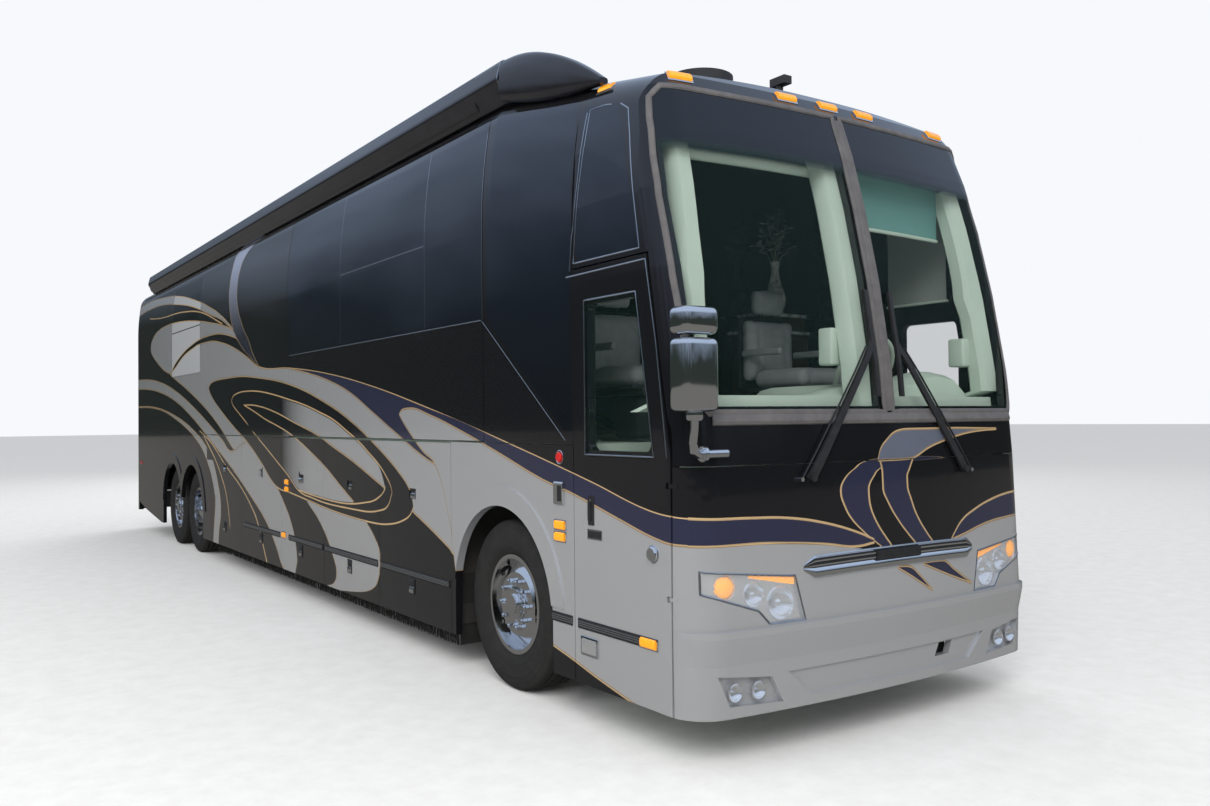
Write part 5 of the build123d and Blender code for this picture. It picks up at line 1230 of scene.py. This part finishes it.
for side_name, side in sides:
    edge = [(side * 0.030, screen_foot), (side * (screen_side(screen_foot + 0.02) - 0.03), screen_foot)]
    edge += [(side * (screen_side(z) - 0.004), z) for z in (1.70, 1.9, 2.1, 2.3, 2.5, 2.7, 2.9, 3.1, 3.22)]
    edge += [(side * (screen_side(3.26) - 0.05), screen_top), (side * 0.030, screen_top)]
    bm = bmesh.new()
    stations = []
    for y, z in between(edge, 0.06, closed=True):
        inside_y = side * min(abs(y), screen_side(min(max(z, 1.66), 3.27)) - 0.004)
        stations.append(on_nose(inside_y, min(max(z, screen_foot + 0.004), screen_top - 0.004)))
    swept(bm, stations, gasket_section, closed=True)
    solid(f"{side_name}_screen_gasket", bm, gasket)
bm = bmesh.new()
bar = [on_nose(0.0, screen_foot + 0.01 + 0.1 * step) for step in range(17)]
swept(bm, bar, even((0.020, -0.006), (0.020, 0.006), (0.013, 0.014)))
sill = [on_nose(-1.15 + 2.30 * step / 46, 1.618) for step in range(47)]
swept(bm, sill, [(-0.030, -0.004), (-0.030, 0.004), (-0.022, 0.010), (0.010, 0.016), (0.024, 0.010),
                 (0.030, -0.004)])
solid("screen_bar_and_sill", bm, gasket)

# Pane and door lines: bright edge strips round the quarter panes, the entry door's pane
# and the door's upper edge.
thin_line = even((0.004, -0.002), (0.004, 0.0015), (0.0, 0.0028))
quarter_edge = [(0.835, 2.458), (1.426, 2.458), (1.379, 2.719), (1.315, 3.043), (1.275, 3.190),
                (1.205, 3.232), (1.062, 3.262), (0.930, 3.270), (0.915, 3.100), (0.877, 2.858)]
for side_name, side in sides:
    bm = bmesh.new()
    swept(bm, flank_line(quarter_edge, side, closed=True), thin_line, closed=True)
    post_path = [(0.800, 2.42 if side < 0 else 2.46), (0.851, 2.817), (0.905, 3.26)]
    swept(bm, flank_line(post_path, side), thin_line)
    solid(f"{side_name}_quarter_pane_line", bm, strip_metal)
bm = bmesh.new()
pane_edge = [(0.935, 1.442), (1.525, 1.442), (1.392, 2.250), (0.935, 2.250)]
swept(bm, flank_line(pane_edge, -1, closed=True), thin_line, closed=True)
solid("entry_door_pane_line", bm, strip_metal, "entry_door")
bm = bmesh.new()
frame_edge = [(0.765, 2.392), (1.474, 2.398), (1.55, 2.00), (1.606, 1.60), (1.627, 1.44)]
swept(bm, flank_line(frame_edge, -1), thin_line)
solid("entry_door_edge_line", bm, strip_metal, "entry_door")

# Awnings along the roof edges: enamelled aluminium cases with a rounded lip and long ribs,
# closed by a bright band and a cast nose cover, with a drip gutter below.
enamel = Finish("awning_enamel", Coat_Weight=0.4, Coat_Roughness=0.05, Specular_IOR_Level=0.4)
enamel.worn((0.006, 0.006, 0.008), (0.016, 0.016, 0.019), 7.0, 5.0, gloss=(0.10, 0.12))
dress(enamel, "roof_awnings")
awning_rear_x = front_axle_x - 10.85
case_profile = [(1.215, 3.562), (1.250, 3.622), (1.280, 3.676), (1.2865, 3.692), (1.2868, 3.706),
                (1.2825, 3.728), (1.2765, 3.752), (1.2705, 3.778), (1.2655, 3.797), (1.257, 3.810),
                (1.241, 3.819), (1.215, 3.8245), (1.185, 3.8255), (1.150, 3.817), (1.122, 3.800),
                (1.106, 3.772), (1.101, 3.730), (1.101, 3.566)]
awning_face = [(1.288, 3.700), (1.262, 3.812)]
for side_name, side in sides:
    bm = bmesh.new()
    for share in (0.18, 0.40, 0.62, 0.84):
        y, z = [part_way(first, last, share) for first, last in zip(*awning_face)]
        out = Vector((0, side * 0.974, 0.226))
        rib = [(Vector((awning_rear_x + 0.01 + step * 0.5, side * y, z)), out) for step in range(22)]
        swept(bm, rib, even((0.007, -0.003), (0.005, 0.0005), (0.0, 0.0012)))
    down = Vector((0, side * 0.887, -0.462))
    under = [(Vector((awning_rear_x + 0.01 + step * 0.5, side * 1.243, 3.618)), down) for step in range(22)]
    swept(bm, under, even((0.030, -0.004), (0.026, 0.010), (0.0, 0.014)))
    solid(f"{side_name}_awning_ribs", bm, enamel)
    bm = bmesh.new()
    case_ends = (awning_rear_x + 0.002, front_axle_x - 0.012)
    bridge(bm, [[(x, side * y, z) for y, z in case_profile] for x in case_ends])
    band_ends = [(front_axle_x - behind, grow)
                 for behind, grow in ((0.014, 0.97), (0.014, 0.998), (0.004, 0.998), (0.004, 0.97))]
    bridge(bm, [[(x, side * (1.193 + (y - 1.193) * grow), 3.69 + (z - 3.69) * grow) for y, z in case_profile]
                for x, grow in band_ends], loop=True, material=1)
    case = solid(f"{side_name}_awning_case", bm, [enamel, strip_metal])
    if side < 0:
        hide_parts("roof_awnings")
    bm = bmesh.new()
    rings = []
    for step in range(21):
        share = step / 20
        x = front_axle_x - 0.006 + 0.985 * share
        top = 3.814 + 0.012 * share - 0.385 * share ** 1.9
        foot = 3.562 - 0.155 * share - 0.035 * math.sin(math.pi * share)
        inner, outer = 1.125 + 0.030 * share ** 2, 1.2795 - 0.070 * share ** 3
        middle_y, middle_z = (inner + outer) / 2, (top + foot) / 2
        ring = []
        for angle in angles(24):
            across = math.copysign(abs(math.cos(angle)) ** 0.55, math.cos(angle))
            rise = math.copysign(abs(math.sin(angle)) ** 0.65, math.sin(angle))
            ring.append((x, side * (middle_y + (outer - inner) / 2 * across),
                         middle_z + (top - foot) / 2 * rise))
        rings.append(ring)
    bridge(bm, rings)
    solid(f"{side_name}_awning_nose", bm, enamel)
    bm = bmesh.new()
    gutter = [on_flank(-6.50 + step * 0.5, 3.52, side) for step in range(23)]
    swept(bm, gutter, [(-0.006, -0.004), (-0.006, 0.006), (0.0, 0.010), (0.005, 0.006), (0.006, -0.004)])
    solid(f"{side_name}_drip_gutter", bm, enamel)

# Roof units: two air conditioners under moulded shrouds with louvred sides, a round dome
# for the aerial, a horn with a flared trumpet and a small camera on the brow.
shroud = Finish("roof_shroud", Roughness=0.5)
shroud.worn((0.015, 0.015, 0.016), (0.045, 0.045, 0.047), 9.0, 5.0)
shroud.bump(shroud.noise(260.0, 2.0), 0.1, 0.001)
dress(shroud, "roof_units")
bm = bmesh.new()
for cooler_x in (front_axle_x - 8.2, front_axle_x - 4.6):
    for row in range(5):
        z = 3.722 + row * 0.017
        for end in (-1, 1):
            x = cooler_x + end * (0.487 - 0.0012 * row)
            for column in range(6):
                y = -0.225 + column * 0.09
                near, far = sorted((x, x - end * 0.010))
                rounded(bm, (near, y - 0.038, z - 0.004), (far, y + 0.038, z + 0.004), 0.002, 1)
    for bolt_x in (-0.36, 0.36):
        for bolt_y in (-0.27, 0.27):
            head = Vector((cooler_x + bolt_x, bolt_y, 3.8215))
            tube(bm, [head - Vector((0, 0, 0.006)), head], 0.012, 8)
solid("cooler_louvres", bm, shroud)
bm = bmesh.new()
flare = [(0.062, 0.020), (0.064, 0.0225), (0.058, 0.022), (0.040, 0.016), (0.010, 0.010),
         (-0.045, 0.008), (-0.055, 0.004), (-0.055, 0.0003)]
spun(bm, Vector((front_axle_x + 1.13, -0.04, 3.580)), flare, 28)
solid("roof_horn_trumpet", bm, chrome)
bm = bmesh.new()
rounded(bm, (front_axle_x + 1.385, 0.015, 3.330), (front_axle_x + 1.455, 0.085, 3.375), 0.014, 3)
rounded(bm, (front_axle_x + 1.450, 0.032, 3.338), (front_axle_x + 1.462, 0.068, 3.366), 0.005, 2)
solid("brow_camera", bm, shroud)

# Tail: the engine door's louvres, pressed from sheet in four stacks, its pull and the red
# lamp lenses. The lenses are the solids of the part.
dress(red_glow, "tail_lamps")
slat_sizes = {"Slats": 9, "Pitch": 0.034, "Width": 0.72, "Height": 0.022, "Depth": 0.006}
slat_stack = Repeat("slat_stack", {**slat_sizes, "Metal": None})
given = slat_stack.given
pitch_step = slat_stack.node("ShaderNodeCombineXYZ", inputs={"Z": given["Pitch"]})
column_line = slat_stack.node("GeometryNodeMeshLine", inputs={"Count": given["Slats"], "Offset": pitch_step})
slat = slat_stack.node("GeometryNodeMeshCylinder",
                       inputs={"Vertices": 16, "Radius": 1.0, "Depth": given["Width"]})
slat_scale = slat_stack.node("ShaderNodeCombineXYZ",
                             inputs={"X": given["Height"] * 0.5, "Y": given["Depth"], "Z": 1.0})
slat = slat_stack.node("GeometryNodeTransform", inputs={"Geometry": slat, "Scale": slat_scale})
slat = slat_stack.node("GeometryNodeTransform",
                       inputs={"Geometry": slat, "Rotation": (math.radians(90), math.radians(-68), 0.0)})
slat_stack.close(column_line, slat, "Metal")
tail_x = -6.86
# Columns: across, height of the foot, number of slats
louvre_stacks = [(-0.42, 1.10, 10), (0.42, 1.10, 10), (-0.42, 0.66, 9), (0.42, 0.66, 9)]
for stack, (y, z, slats) in enumerate(louvre_stacks, 1):
    grown(f"engine_door_louvres_{stack}", slat_stack, {**slat_sizes, "Slats": slats, "Metal": satin.material},
          "engine_door", Matrix.Translation((tail_x + 0.009, y, z)))
bm = bmesh.new()
tube(bm, [(tail_x + 0.009, -0.09, 0.605), (tail_x + 0.009, -0.085, 0.606), (tail_x + 0.009, 0.085, 0.606),
          (tail_x + 0.009, 0.09, 0.605)], 0.008, 12)
for y in (-0.08, 0.08):
    rounded(bm, (tail_x, y - 0.012, 0.594), (tail_x + 0.012, y + 0.012, 0.618), 0.004, 2)
solid("engine_door_pull", bm, chrome, "engine_door")

# Skirt strips: black mouldings with a bright ribbed insert along the skirt, glued to four of
# the bay doors a side, the front panels and the entry door.
# Columns: name, bay door (0 for the coach body, -1 for the entry door), from, to
strip_runs = [("bay_5", 5, -1.86, -0.69), ("bay_4", 4, -3.08, -1.92), ("bay_3", 3, -4.09, -3.15),
              ("bay_2", 2, -5.62, -4.36), ("front_panel", 0, 0.60, 0.80), ("door", -1, 0.86, 1.40)]
for side_name, side in sides:
    for name, owner, start, end in strip_runs:
        body = f"{side_name}_bay_door_{owner}" if owner > 0 else "coach_body"
        if owner < 0 and side < 0:
            body = "entry_door"
        bm = bmesh.new()
        run = [on_flank(front_axle_x + part_way(start, end, step / 12), 0.550, side) for step in range(13)]
        swept(bm, run, even((0.026, -0.003), (0.026, 0.004), (0.022, 0.006)))
        for offset in (-0.011, 0.0, 0.011):
            swept(bm, run, [(offset - 0.004, 0.005), (offset - 0.003, 0.008), (offset + 0.003, 0.008),
                            (offset + 0.004, 0.005)], material=1)
        solid(f"{side_name}_{name}_skirt_strip", bm, [seal, strip_metal], body)

# Tow eye: a forged ring on its shank in a black tray that closes the slot in the bumper.
bm = bmesh.new()
tray_x = on_nose(0.39, 0.43)[0].x - 0.085
rounded(bm, (tray_x - 0.012, 0.285, 0.302), (tray_x, 0.500, 0.432), 0.004, 2)
rounded(bm, (tray_x - 0.002, 0.388, 0.335), (tray_x + 0.026, 0.402, 0.352), 0.003, 2)
rings = []
for turn_by in angles(20):
    across, rise = math.cos(turn_by), math.sin(turn_by)
    rings.append([(tray_x + 0.018 + 0.006 * math.sin(angle),
                   0.395 + (0.020 + 0.006 * math.cos(angle)) * across,
                   0.370 + (0.020 + 0.006 * math.cos(angle)) * rise) for angle in angles(10)])
bridge(bm, rings, loop=True)
solid("tow_eye", bm, seal)

# Brush skirt: nylon bristles in a black channel under the sills, grown from one bristle,
# and a rubber mud flap behind each front wheel.
bristle_sizes = {"Bristles": 1100, "Run": 6.28, "Length": 0.12, "Seed": 7}
bristle_row = Repeat("bristle_row", {**bristle_sizes, "Nylon": None})
given = bristle_row.given
run_end = bristle_row.node("ShaderNodeCombineXYZ", inputs={"X": given["Run"]})
bristle_line = bristle_row.node("GeometryNodeMeshLine", {"mode": "END_POINTS"},
                                {"Count": given["Bristles"], "Offset": run_end})
one_bristle = bristle_row.node("GeometryNodeMeshCone", inputs={
    "Vertices": 4, "Radius Top": 0.0022, "Radius Bottom": 0.0040, "Depth": given["Length"]})
lean = bristle_row.node("FunctionNodeRandomValue", {"data_type": "FLOAT_VECTOR"},
                        {"Min": (2.98, -0.12, 0.0), "Max": (3.30, 0.12, 6.0), "Seed": given["Seed"]})
bristle_row.close(bristle_line, one_bristle, "Nylon", lean)
for side_name, side in sides:
    grown(f"{side_name}_brush_skirt", bristle_row,
          {**bristle_sizes, "Seed": bristle_sizes["Seed"] + side, "Nylon": rubber.material}, "coach_body",
          Matrix.Translation((-2.06, side * 1.225, 0.262)))
    bm = bmesh.new()
    channel = [(Vector((-2.08 + 6.33 * step / 12, side * 1.225, 0.300)), Vector((0, side, 0)))
               for step in range(13)]
    swept(bm, channel, [(-0.034, -0.012), (-0.034, 0.012), (0.030, 0.012), (0.030, -0.012)])
    solid(f"{side_name}_brush_channel", bm, satin)
    bm = bmesh.new()
    flap_x = front_axle_x - 0.648
    flap = [(Vector((flap_x - back, side * 1.03, z)), Vector((1, 0, 0)))
            for back, z in ((0.0, 0.62), (0.0, 0.45), (0.012, 0.28), (0.020, 0.15))]
    swept(bm, flap, even((0.20, -0.005), (0.20, 0.005)))
    solid(f"{side_name}_mud_flap", bm, rubber)

# Chassis, axles and engine: hot-rolled steel and castings in chip-proof black paint, dusty
# from the road, with rust in the pitted places.
chassis = Finish("chassis_paint", Specular_IOR_Level=0.3)
dust_mask = chassis.noise(4.0, 6.0, 0.7)
rust = chassis.noise(17.0, 7.0, 0.75).ranged(0.60, 0.72, end=0.7)
chassis_tone = dust_mask.mixed((0.014, 0.014, 0.015), (0.050, 0.046, 0.042))
chassis.feed("Base Color", rust.mixed(chassis_tone, (0.075, 0.032, 0.016)))
chassis.feed("Roughness", dust_mask * 0.3 + 0.5)
chassis.bump(chassis.noise(90.0, 4.0), 0.25, 0.002)
dress(chassis, "chassis_frame", "front_axle", "right_knuckle", "left_knuckle", "rear_axles", "bay_bulkheads",
      "bay_floor")
casting = Finish("engine_casting", Specular_IOR_Level=0.4)
casting.worn((0.045, 0.048, 0.052), (0.16, 0.17, 0.18), 8.0, 6.0, 0.7, gloss=(0.35, 0.35))
casting.bump(casting.noise(60.0, 5.0), 0.3, 0.003)
dress(casting, "engine")
bm = bmesh.new()
for column in range(11):
    x = -6.44 + column * 0.105
    rounded(bm, (x, -0.452, 0.86), (x + 0.022, 0.452, 1.30), 0.004, 1)
for step in range(6):
    x = -6.36 + step * 0.19
    for near, far in ((-0.30, -0.06), (0.06, 0.30)):
        rounded(bm, (x, near, 1.372), (x + 0.12, far, 1.41), 0.012, 3)
pipe = [(-6.42, 1.372), (-6.42, 1.40), (-6.0, 1.42), (-5.45, 1.40), (-5.38, 1.372)]
tube(bm, [(x, -0.40, z) for x, z in pipe], 0.022, 14)
solid("engine_dressing", bm, casting)

# Cab seats: leather over foam on steel pedestals. Each cushion, back and headrest is its own
# sewn pad with piping channels, and a moulded shell closes the back.
leather = Finish("seat_leather", Specular_IOR_Level=0.4)
grain = leather.noise(420.0, 3.0)
creases = leather.worn((0.20, 0.22, 0.22), (0.34, 0.36, 0.36), 16.0, 5.0, 0.6, gloss=(0.20, 0.36))
leather.bump(grain * 0.3 + creases, 0.35, 0.002)
most_swell = 0.014
channel_deep, channel_wide = 0.007, 0.013


def stuffed(name, low, high, radius, channels):
    """A pad swollen by air pressure in a short cloth run, then drawn in along sewn channels."""
    bm = bmesh.new()
    rounded(bm, low, high, radius, 4)
    mesh = bpy.data.meshes.new(name + "_block")
    bm.to_mesh(mesh)
    bm.free()
    pad = placed(name, mesh)
    voxels = pad.modifiers.new("voxels", "REMESH")
    voxels.mode = "VOXEL"
    voxels.voxel_size = 0.015
    pad.data = with_modifiers(pad)
    pad.modifiers.clear()
    swell = pad.modifiers.new("swell", "CLOTH")
    swell.settings.use_pressure = True
    swell.settings.uniform_pressure_force = 4.0
    swell.settings.effector_weights.gravity = 0.0
    for step in range(1, 21):
        bpy.context.scene.frame_set(step)
    graph = bpy.context.evaluated_depsgraph_get()
    blown = [vertex.co.copy() for vertex in pad.evaluated_get(graph).data.vertices]
    pad.modifiers.clear()
    bpy.context.scene.frame_set(1)
    for vertex, last in zip(pad.data.vertices, blown):
        shift = last - vertex.co
        vertex.co += shift * min(1.0, most_swell / max(shift.length, 1e-6))
    normals = [vertex.normal.copy() for vertex in pad.data.vertices]
    for vertex, normal in zip(pad.data.vertices, normals):
        for axis, place in channels:
            inward = math.exp(-((vertex.co[axis] - place) / channel_wide) ** 2)
            vertex.co -= normal * channel_deep * inward
    pad.modifiers.new("finer", "SUBSURF").levels = 1
    pad.data = with_modifiers(pad)
    pad.modifiers.clear()
    pad.data.materials.clear()
    pad.data.materials.append(leather.material)
    pad.data.shade_smooth()
    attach(pad, "coach_body")
    return pad


# Columns: name, distance ahead, distance to the driver's side
cab_seats = [("driver", 0.640, 0.610), ("mate", 0.520, -0.610)]
for name, ahead, y in cab_seats:
    x = front_axle_x + ahead
    stuffed(f"{name}_seat_cushion", (x - 0.235, y - 0.235, 1.825), (x + 0.235, y + 0.235, 1.930), 0.045,
            [(1, y - 0.135), (1, y + 0.135)])
    stuffed(f"{name}_seat_back", (x - 0.350, y - 0.225, 1.860), (x - 0.268, y + 0.225, 2.290), 0.038,
            [(1, y - 0.120), (1, y + 0.120), (2, 2.19)])
    headrest = stuffed(f"{name}_headrest", (x - 0.348, y - 0.135, 2.320), (x - 0.268, y + 0.135, 2.490),
                       0.036, [(1, y - 0.085), (1, y + 0.085)])
    if name == "driver":
        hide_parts("cab_seats")
    bm = bmesh.new()
    rounded(bm, (x - 0.200, y - 0.170, 1.492), (x + 0.190, y + 0.170, 1.512), 0.006, 2)
    rounded(bm, (x - 0.130, y - 0.120, 1.505), (x + 0.120, y + 0.120, 1.765), 0.030, 3)
    for rail in (-0.15, 0.15):
        rounded(bm, (x - 0.240, y + rail - 0.022, 1.762), (x + 0.240, y + rail + 0.022, 1.800), 0.005, 2)
    rounded(bm, (x - 0.255, y - 0.240, 1.796), (x + 0.235, y + 0.240, 1.822), 0.010, 2)
    rounded(bm, (x - 0.378, y - 0.215, 1.830), (x - 0.362, y + 0.215, 2.300), 0.007, 3)
    for post in (-0.06, 0.06):
        tube(bm, [(x - 0.325, y + post, 2.270), (x - 0.325, y + post, 2.350)], 0.007, 10)
    for arm in (-0.238, 0.238):
        rounded(bm, (x - 0.300, y + arm - 0.018, 2.030), (x + 0.060, y + arm + 0.018, 2.075), 0.015, 4, 1)
    solid(f"{name}_seat_base", bm, [satin, leather])

# Cabinets behind the seats: dark veneer with framed doors and bright pulls, a stone ledge,
# and on the driver's side a raised stone top with a vase of dried leaves on it.
veneer = Finish("dark_veneer", Roughness=0.32, Coat_Weight=0.3)
figure = veneer.bands("Y", 9.0, 5.0, 3.0)
veneer.feed("Base Color", figure.mixed((0.020, 0.010, 0.006), (0.060, 0.030, 0.016)))
dress(veneer, "cabinets")
stone = Finish("pale_stone", Roughness=0.12, Coat_Weight=0.3)
veins = stone.noise(14.0, 9.0, 0.75)
stone_tones = [(0.40, (0.20, 0.21, 0.20)), (0.56, (0.62, 0.64, 0.60))]
stone.feed("Base Color", stone.wire.node("ShaderNodeValToRGB", {"stops": stone_tones}, {0: veins}))
for side_name, side in sides:
    low, high = sorted((side * 0.675, side * 1.236))
    bm = bmesh.new()
    rounded(bm, (4.768, low, 2.224), (5.058, high, 2.250), 0.010, 3)
    if side > 0:
        rounded(bm, (4.780, 0.760, 2.352), (5.030, 1.236, 2.378), 0.010, 3)
        rounded(bm, (4.795, 0.790, 2.248), (5.010, 1.236, 2.354), 0.004, 2, material=1)
    solid(f"{side_name}_cabinet_top", bm, [stone, veneer])
    bm = bmesh.new()
    for panel in range(2):
        near = side * (0.72 + 0.255 * panel)
        far = side * (0.72 + 0.255 * panel + 0.240)
        rounded(bm, (5.034, min(near, far), 1.56), (5.050, max(near, far), 2.19), 0.005, 2)
        tube(bm, [(5.060, far - side * 0.03, 1.82), (5.060, far - side * 0.03, 1.94)], 0.005, 8, material=1)
        for z in (1.82, 1.94):
            tube(bm, [(5.046, far - side * 0.03, z), (5.062, far - side * 0.03, z)], 0.004, 8, material=1)
    solid(f"{side_name}_cabinet_doors", bm, [veneer, chrome])

vase_x, vase_y = front_axle_x, 1.01
vase_outline = [(0.0003, 2.379), (0.050, 2.379), (0.056, 2.386), (0.072, 2.440), (0.078, 2.490),
                (0.068, 2.550), (0.042, 2.620), (0.030, 2.680), (0.028, 2.720), (0.036, 2.765),
                (0.033, 2.765), (0.025, 2.720), (0.0003, 2.710)]
bm = bmesh.new()
bridge(bm, [[(vase_x + radius * math.cos(angle), vase_y + radius * math.sin(angle), z)
             for radius, z in vase_outline] for angle in angles(32)], loop=True, open_run=True)
solid("counter_vase", bm, stone)
foliage = Finish("dried_leaves", Roughness=0.6)
foliage.worn((0.10, 0.12, 0.085), (0.34, 0.38, 0.30), 24.0, 3.0)


def along_stem(foot, tip, share):
    """A place on a stem that bows upwards."""
    return foot.lerp(tip, share) + Vector((0, 0, 0.05 * math.sin(math.pi * share)))


bm = bmesh.new()
for stem in range(9):
    turn_by = stem * 2.39996
    reach = 0.05 + 0.012 * stem
    foot = Vector((vase_x, vase_y, 2.70))
    tip = foot + Vector((reach * math.cos(turn_by), reach * math.sin(turn_by), 0.43 - 0.035 * stem))
    tube(bm, [along_stem(foot, tip, share) for share in (0, 0.35, 0.7, 1)], 0.0025, 6)
    for leaf in range(7):
        share = 0.38 + 0.62 * leaf / 6
        centre = along_stem(foot, tip, share)
        swing = turn_by + leaf * 2.4
        way = Vector((math.cos(swing), math.sin(swing), 0.45 - 0.2 * (leaf % 3))).normalized()
        blade = way.to_track_quat("X", "Z").to_matrix().to_4x4() @ Matrix.Diagonal((0.036, 0.017, 0.0025, 1))
        bmesh.ops.create_icosphere(bm, subdivisions=2, radius=1.0,
                                   matrix=Matrix.Translation(centre + way * 0.036) @ blade)
solid("counter_leaves", bm, foliage)

# The driver's window blind: grey cloth on a fixed rail above the eye line, inside the glass.
blind_cloth = Finish("window_blind", Roughness=0.85, Specular_IOR_Level=0.2)
blind_weave = blind_cloth.bands("Z", 60.0, 0.6)
blind_cloth.feed("Base Color", blind_weave.mixed((0.24, 0.27, 0.25), (0.32, 0.35, 0.33)))
blind_cloth.bump(blind_weave, 0.2, 0.001)
bm = bmesh.new()
blind_rows = []
for step in range(25):
    z = 2.36 + 0.80 * step / 24
    sway = 0.0015 * math.sin(step * 0.8)
    blind_rows.append([(front_axle_x + ahead, 1.222 + sway + thick, z)
                       for ahead, thick in ((0.86, 0.0), (1.32, 0.0), (1.32, 0.0016), (0.86, 0.0016))])
bridge(bm, blind_rows)
blind = solid("driver_window_blind", bm, blind_cloth)
bm = bmesh.new()
tube(bm, [(front_axle_x + 0.85, 1.223, 2.358), (front_axle_x + 1.33, 1.223, 2.358)], 0.009, 12)
tube(bm, [(front_axle_x + 0.84, 1.205, 3.17), (front_axle_x + 1.34, 1.205, 3.17)], 0.026, 16)
blind_rails = solid("driver_blind_rails", bm, lining)
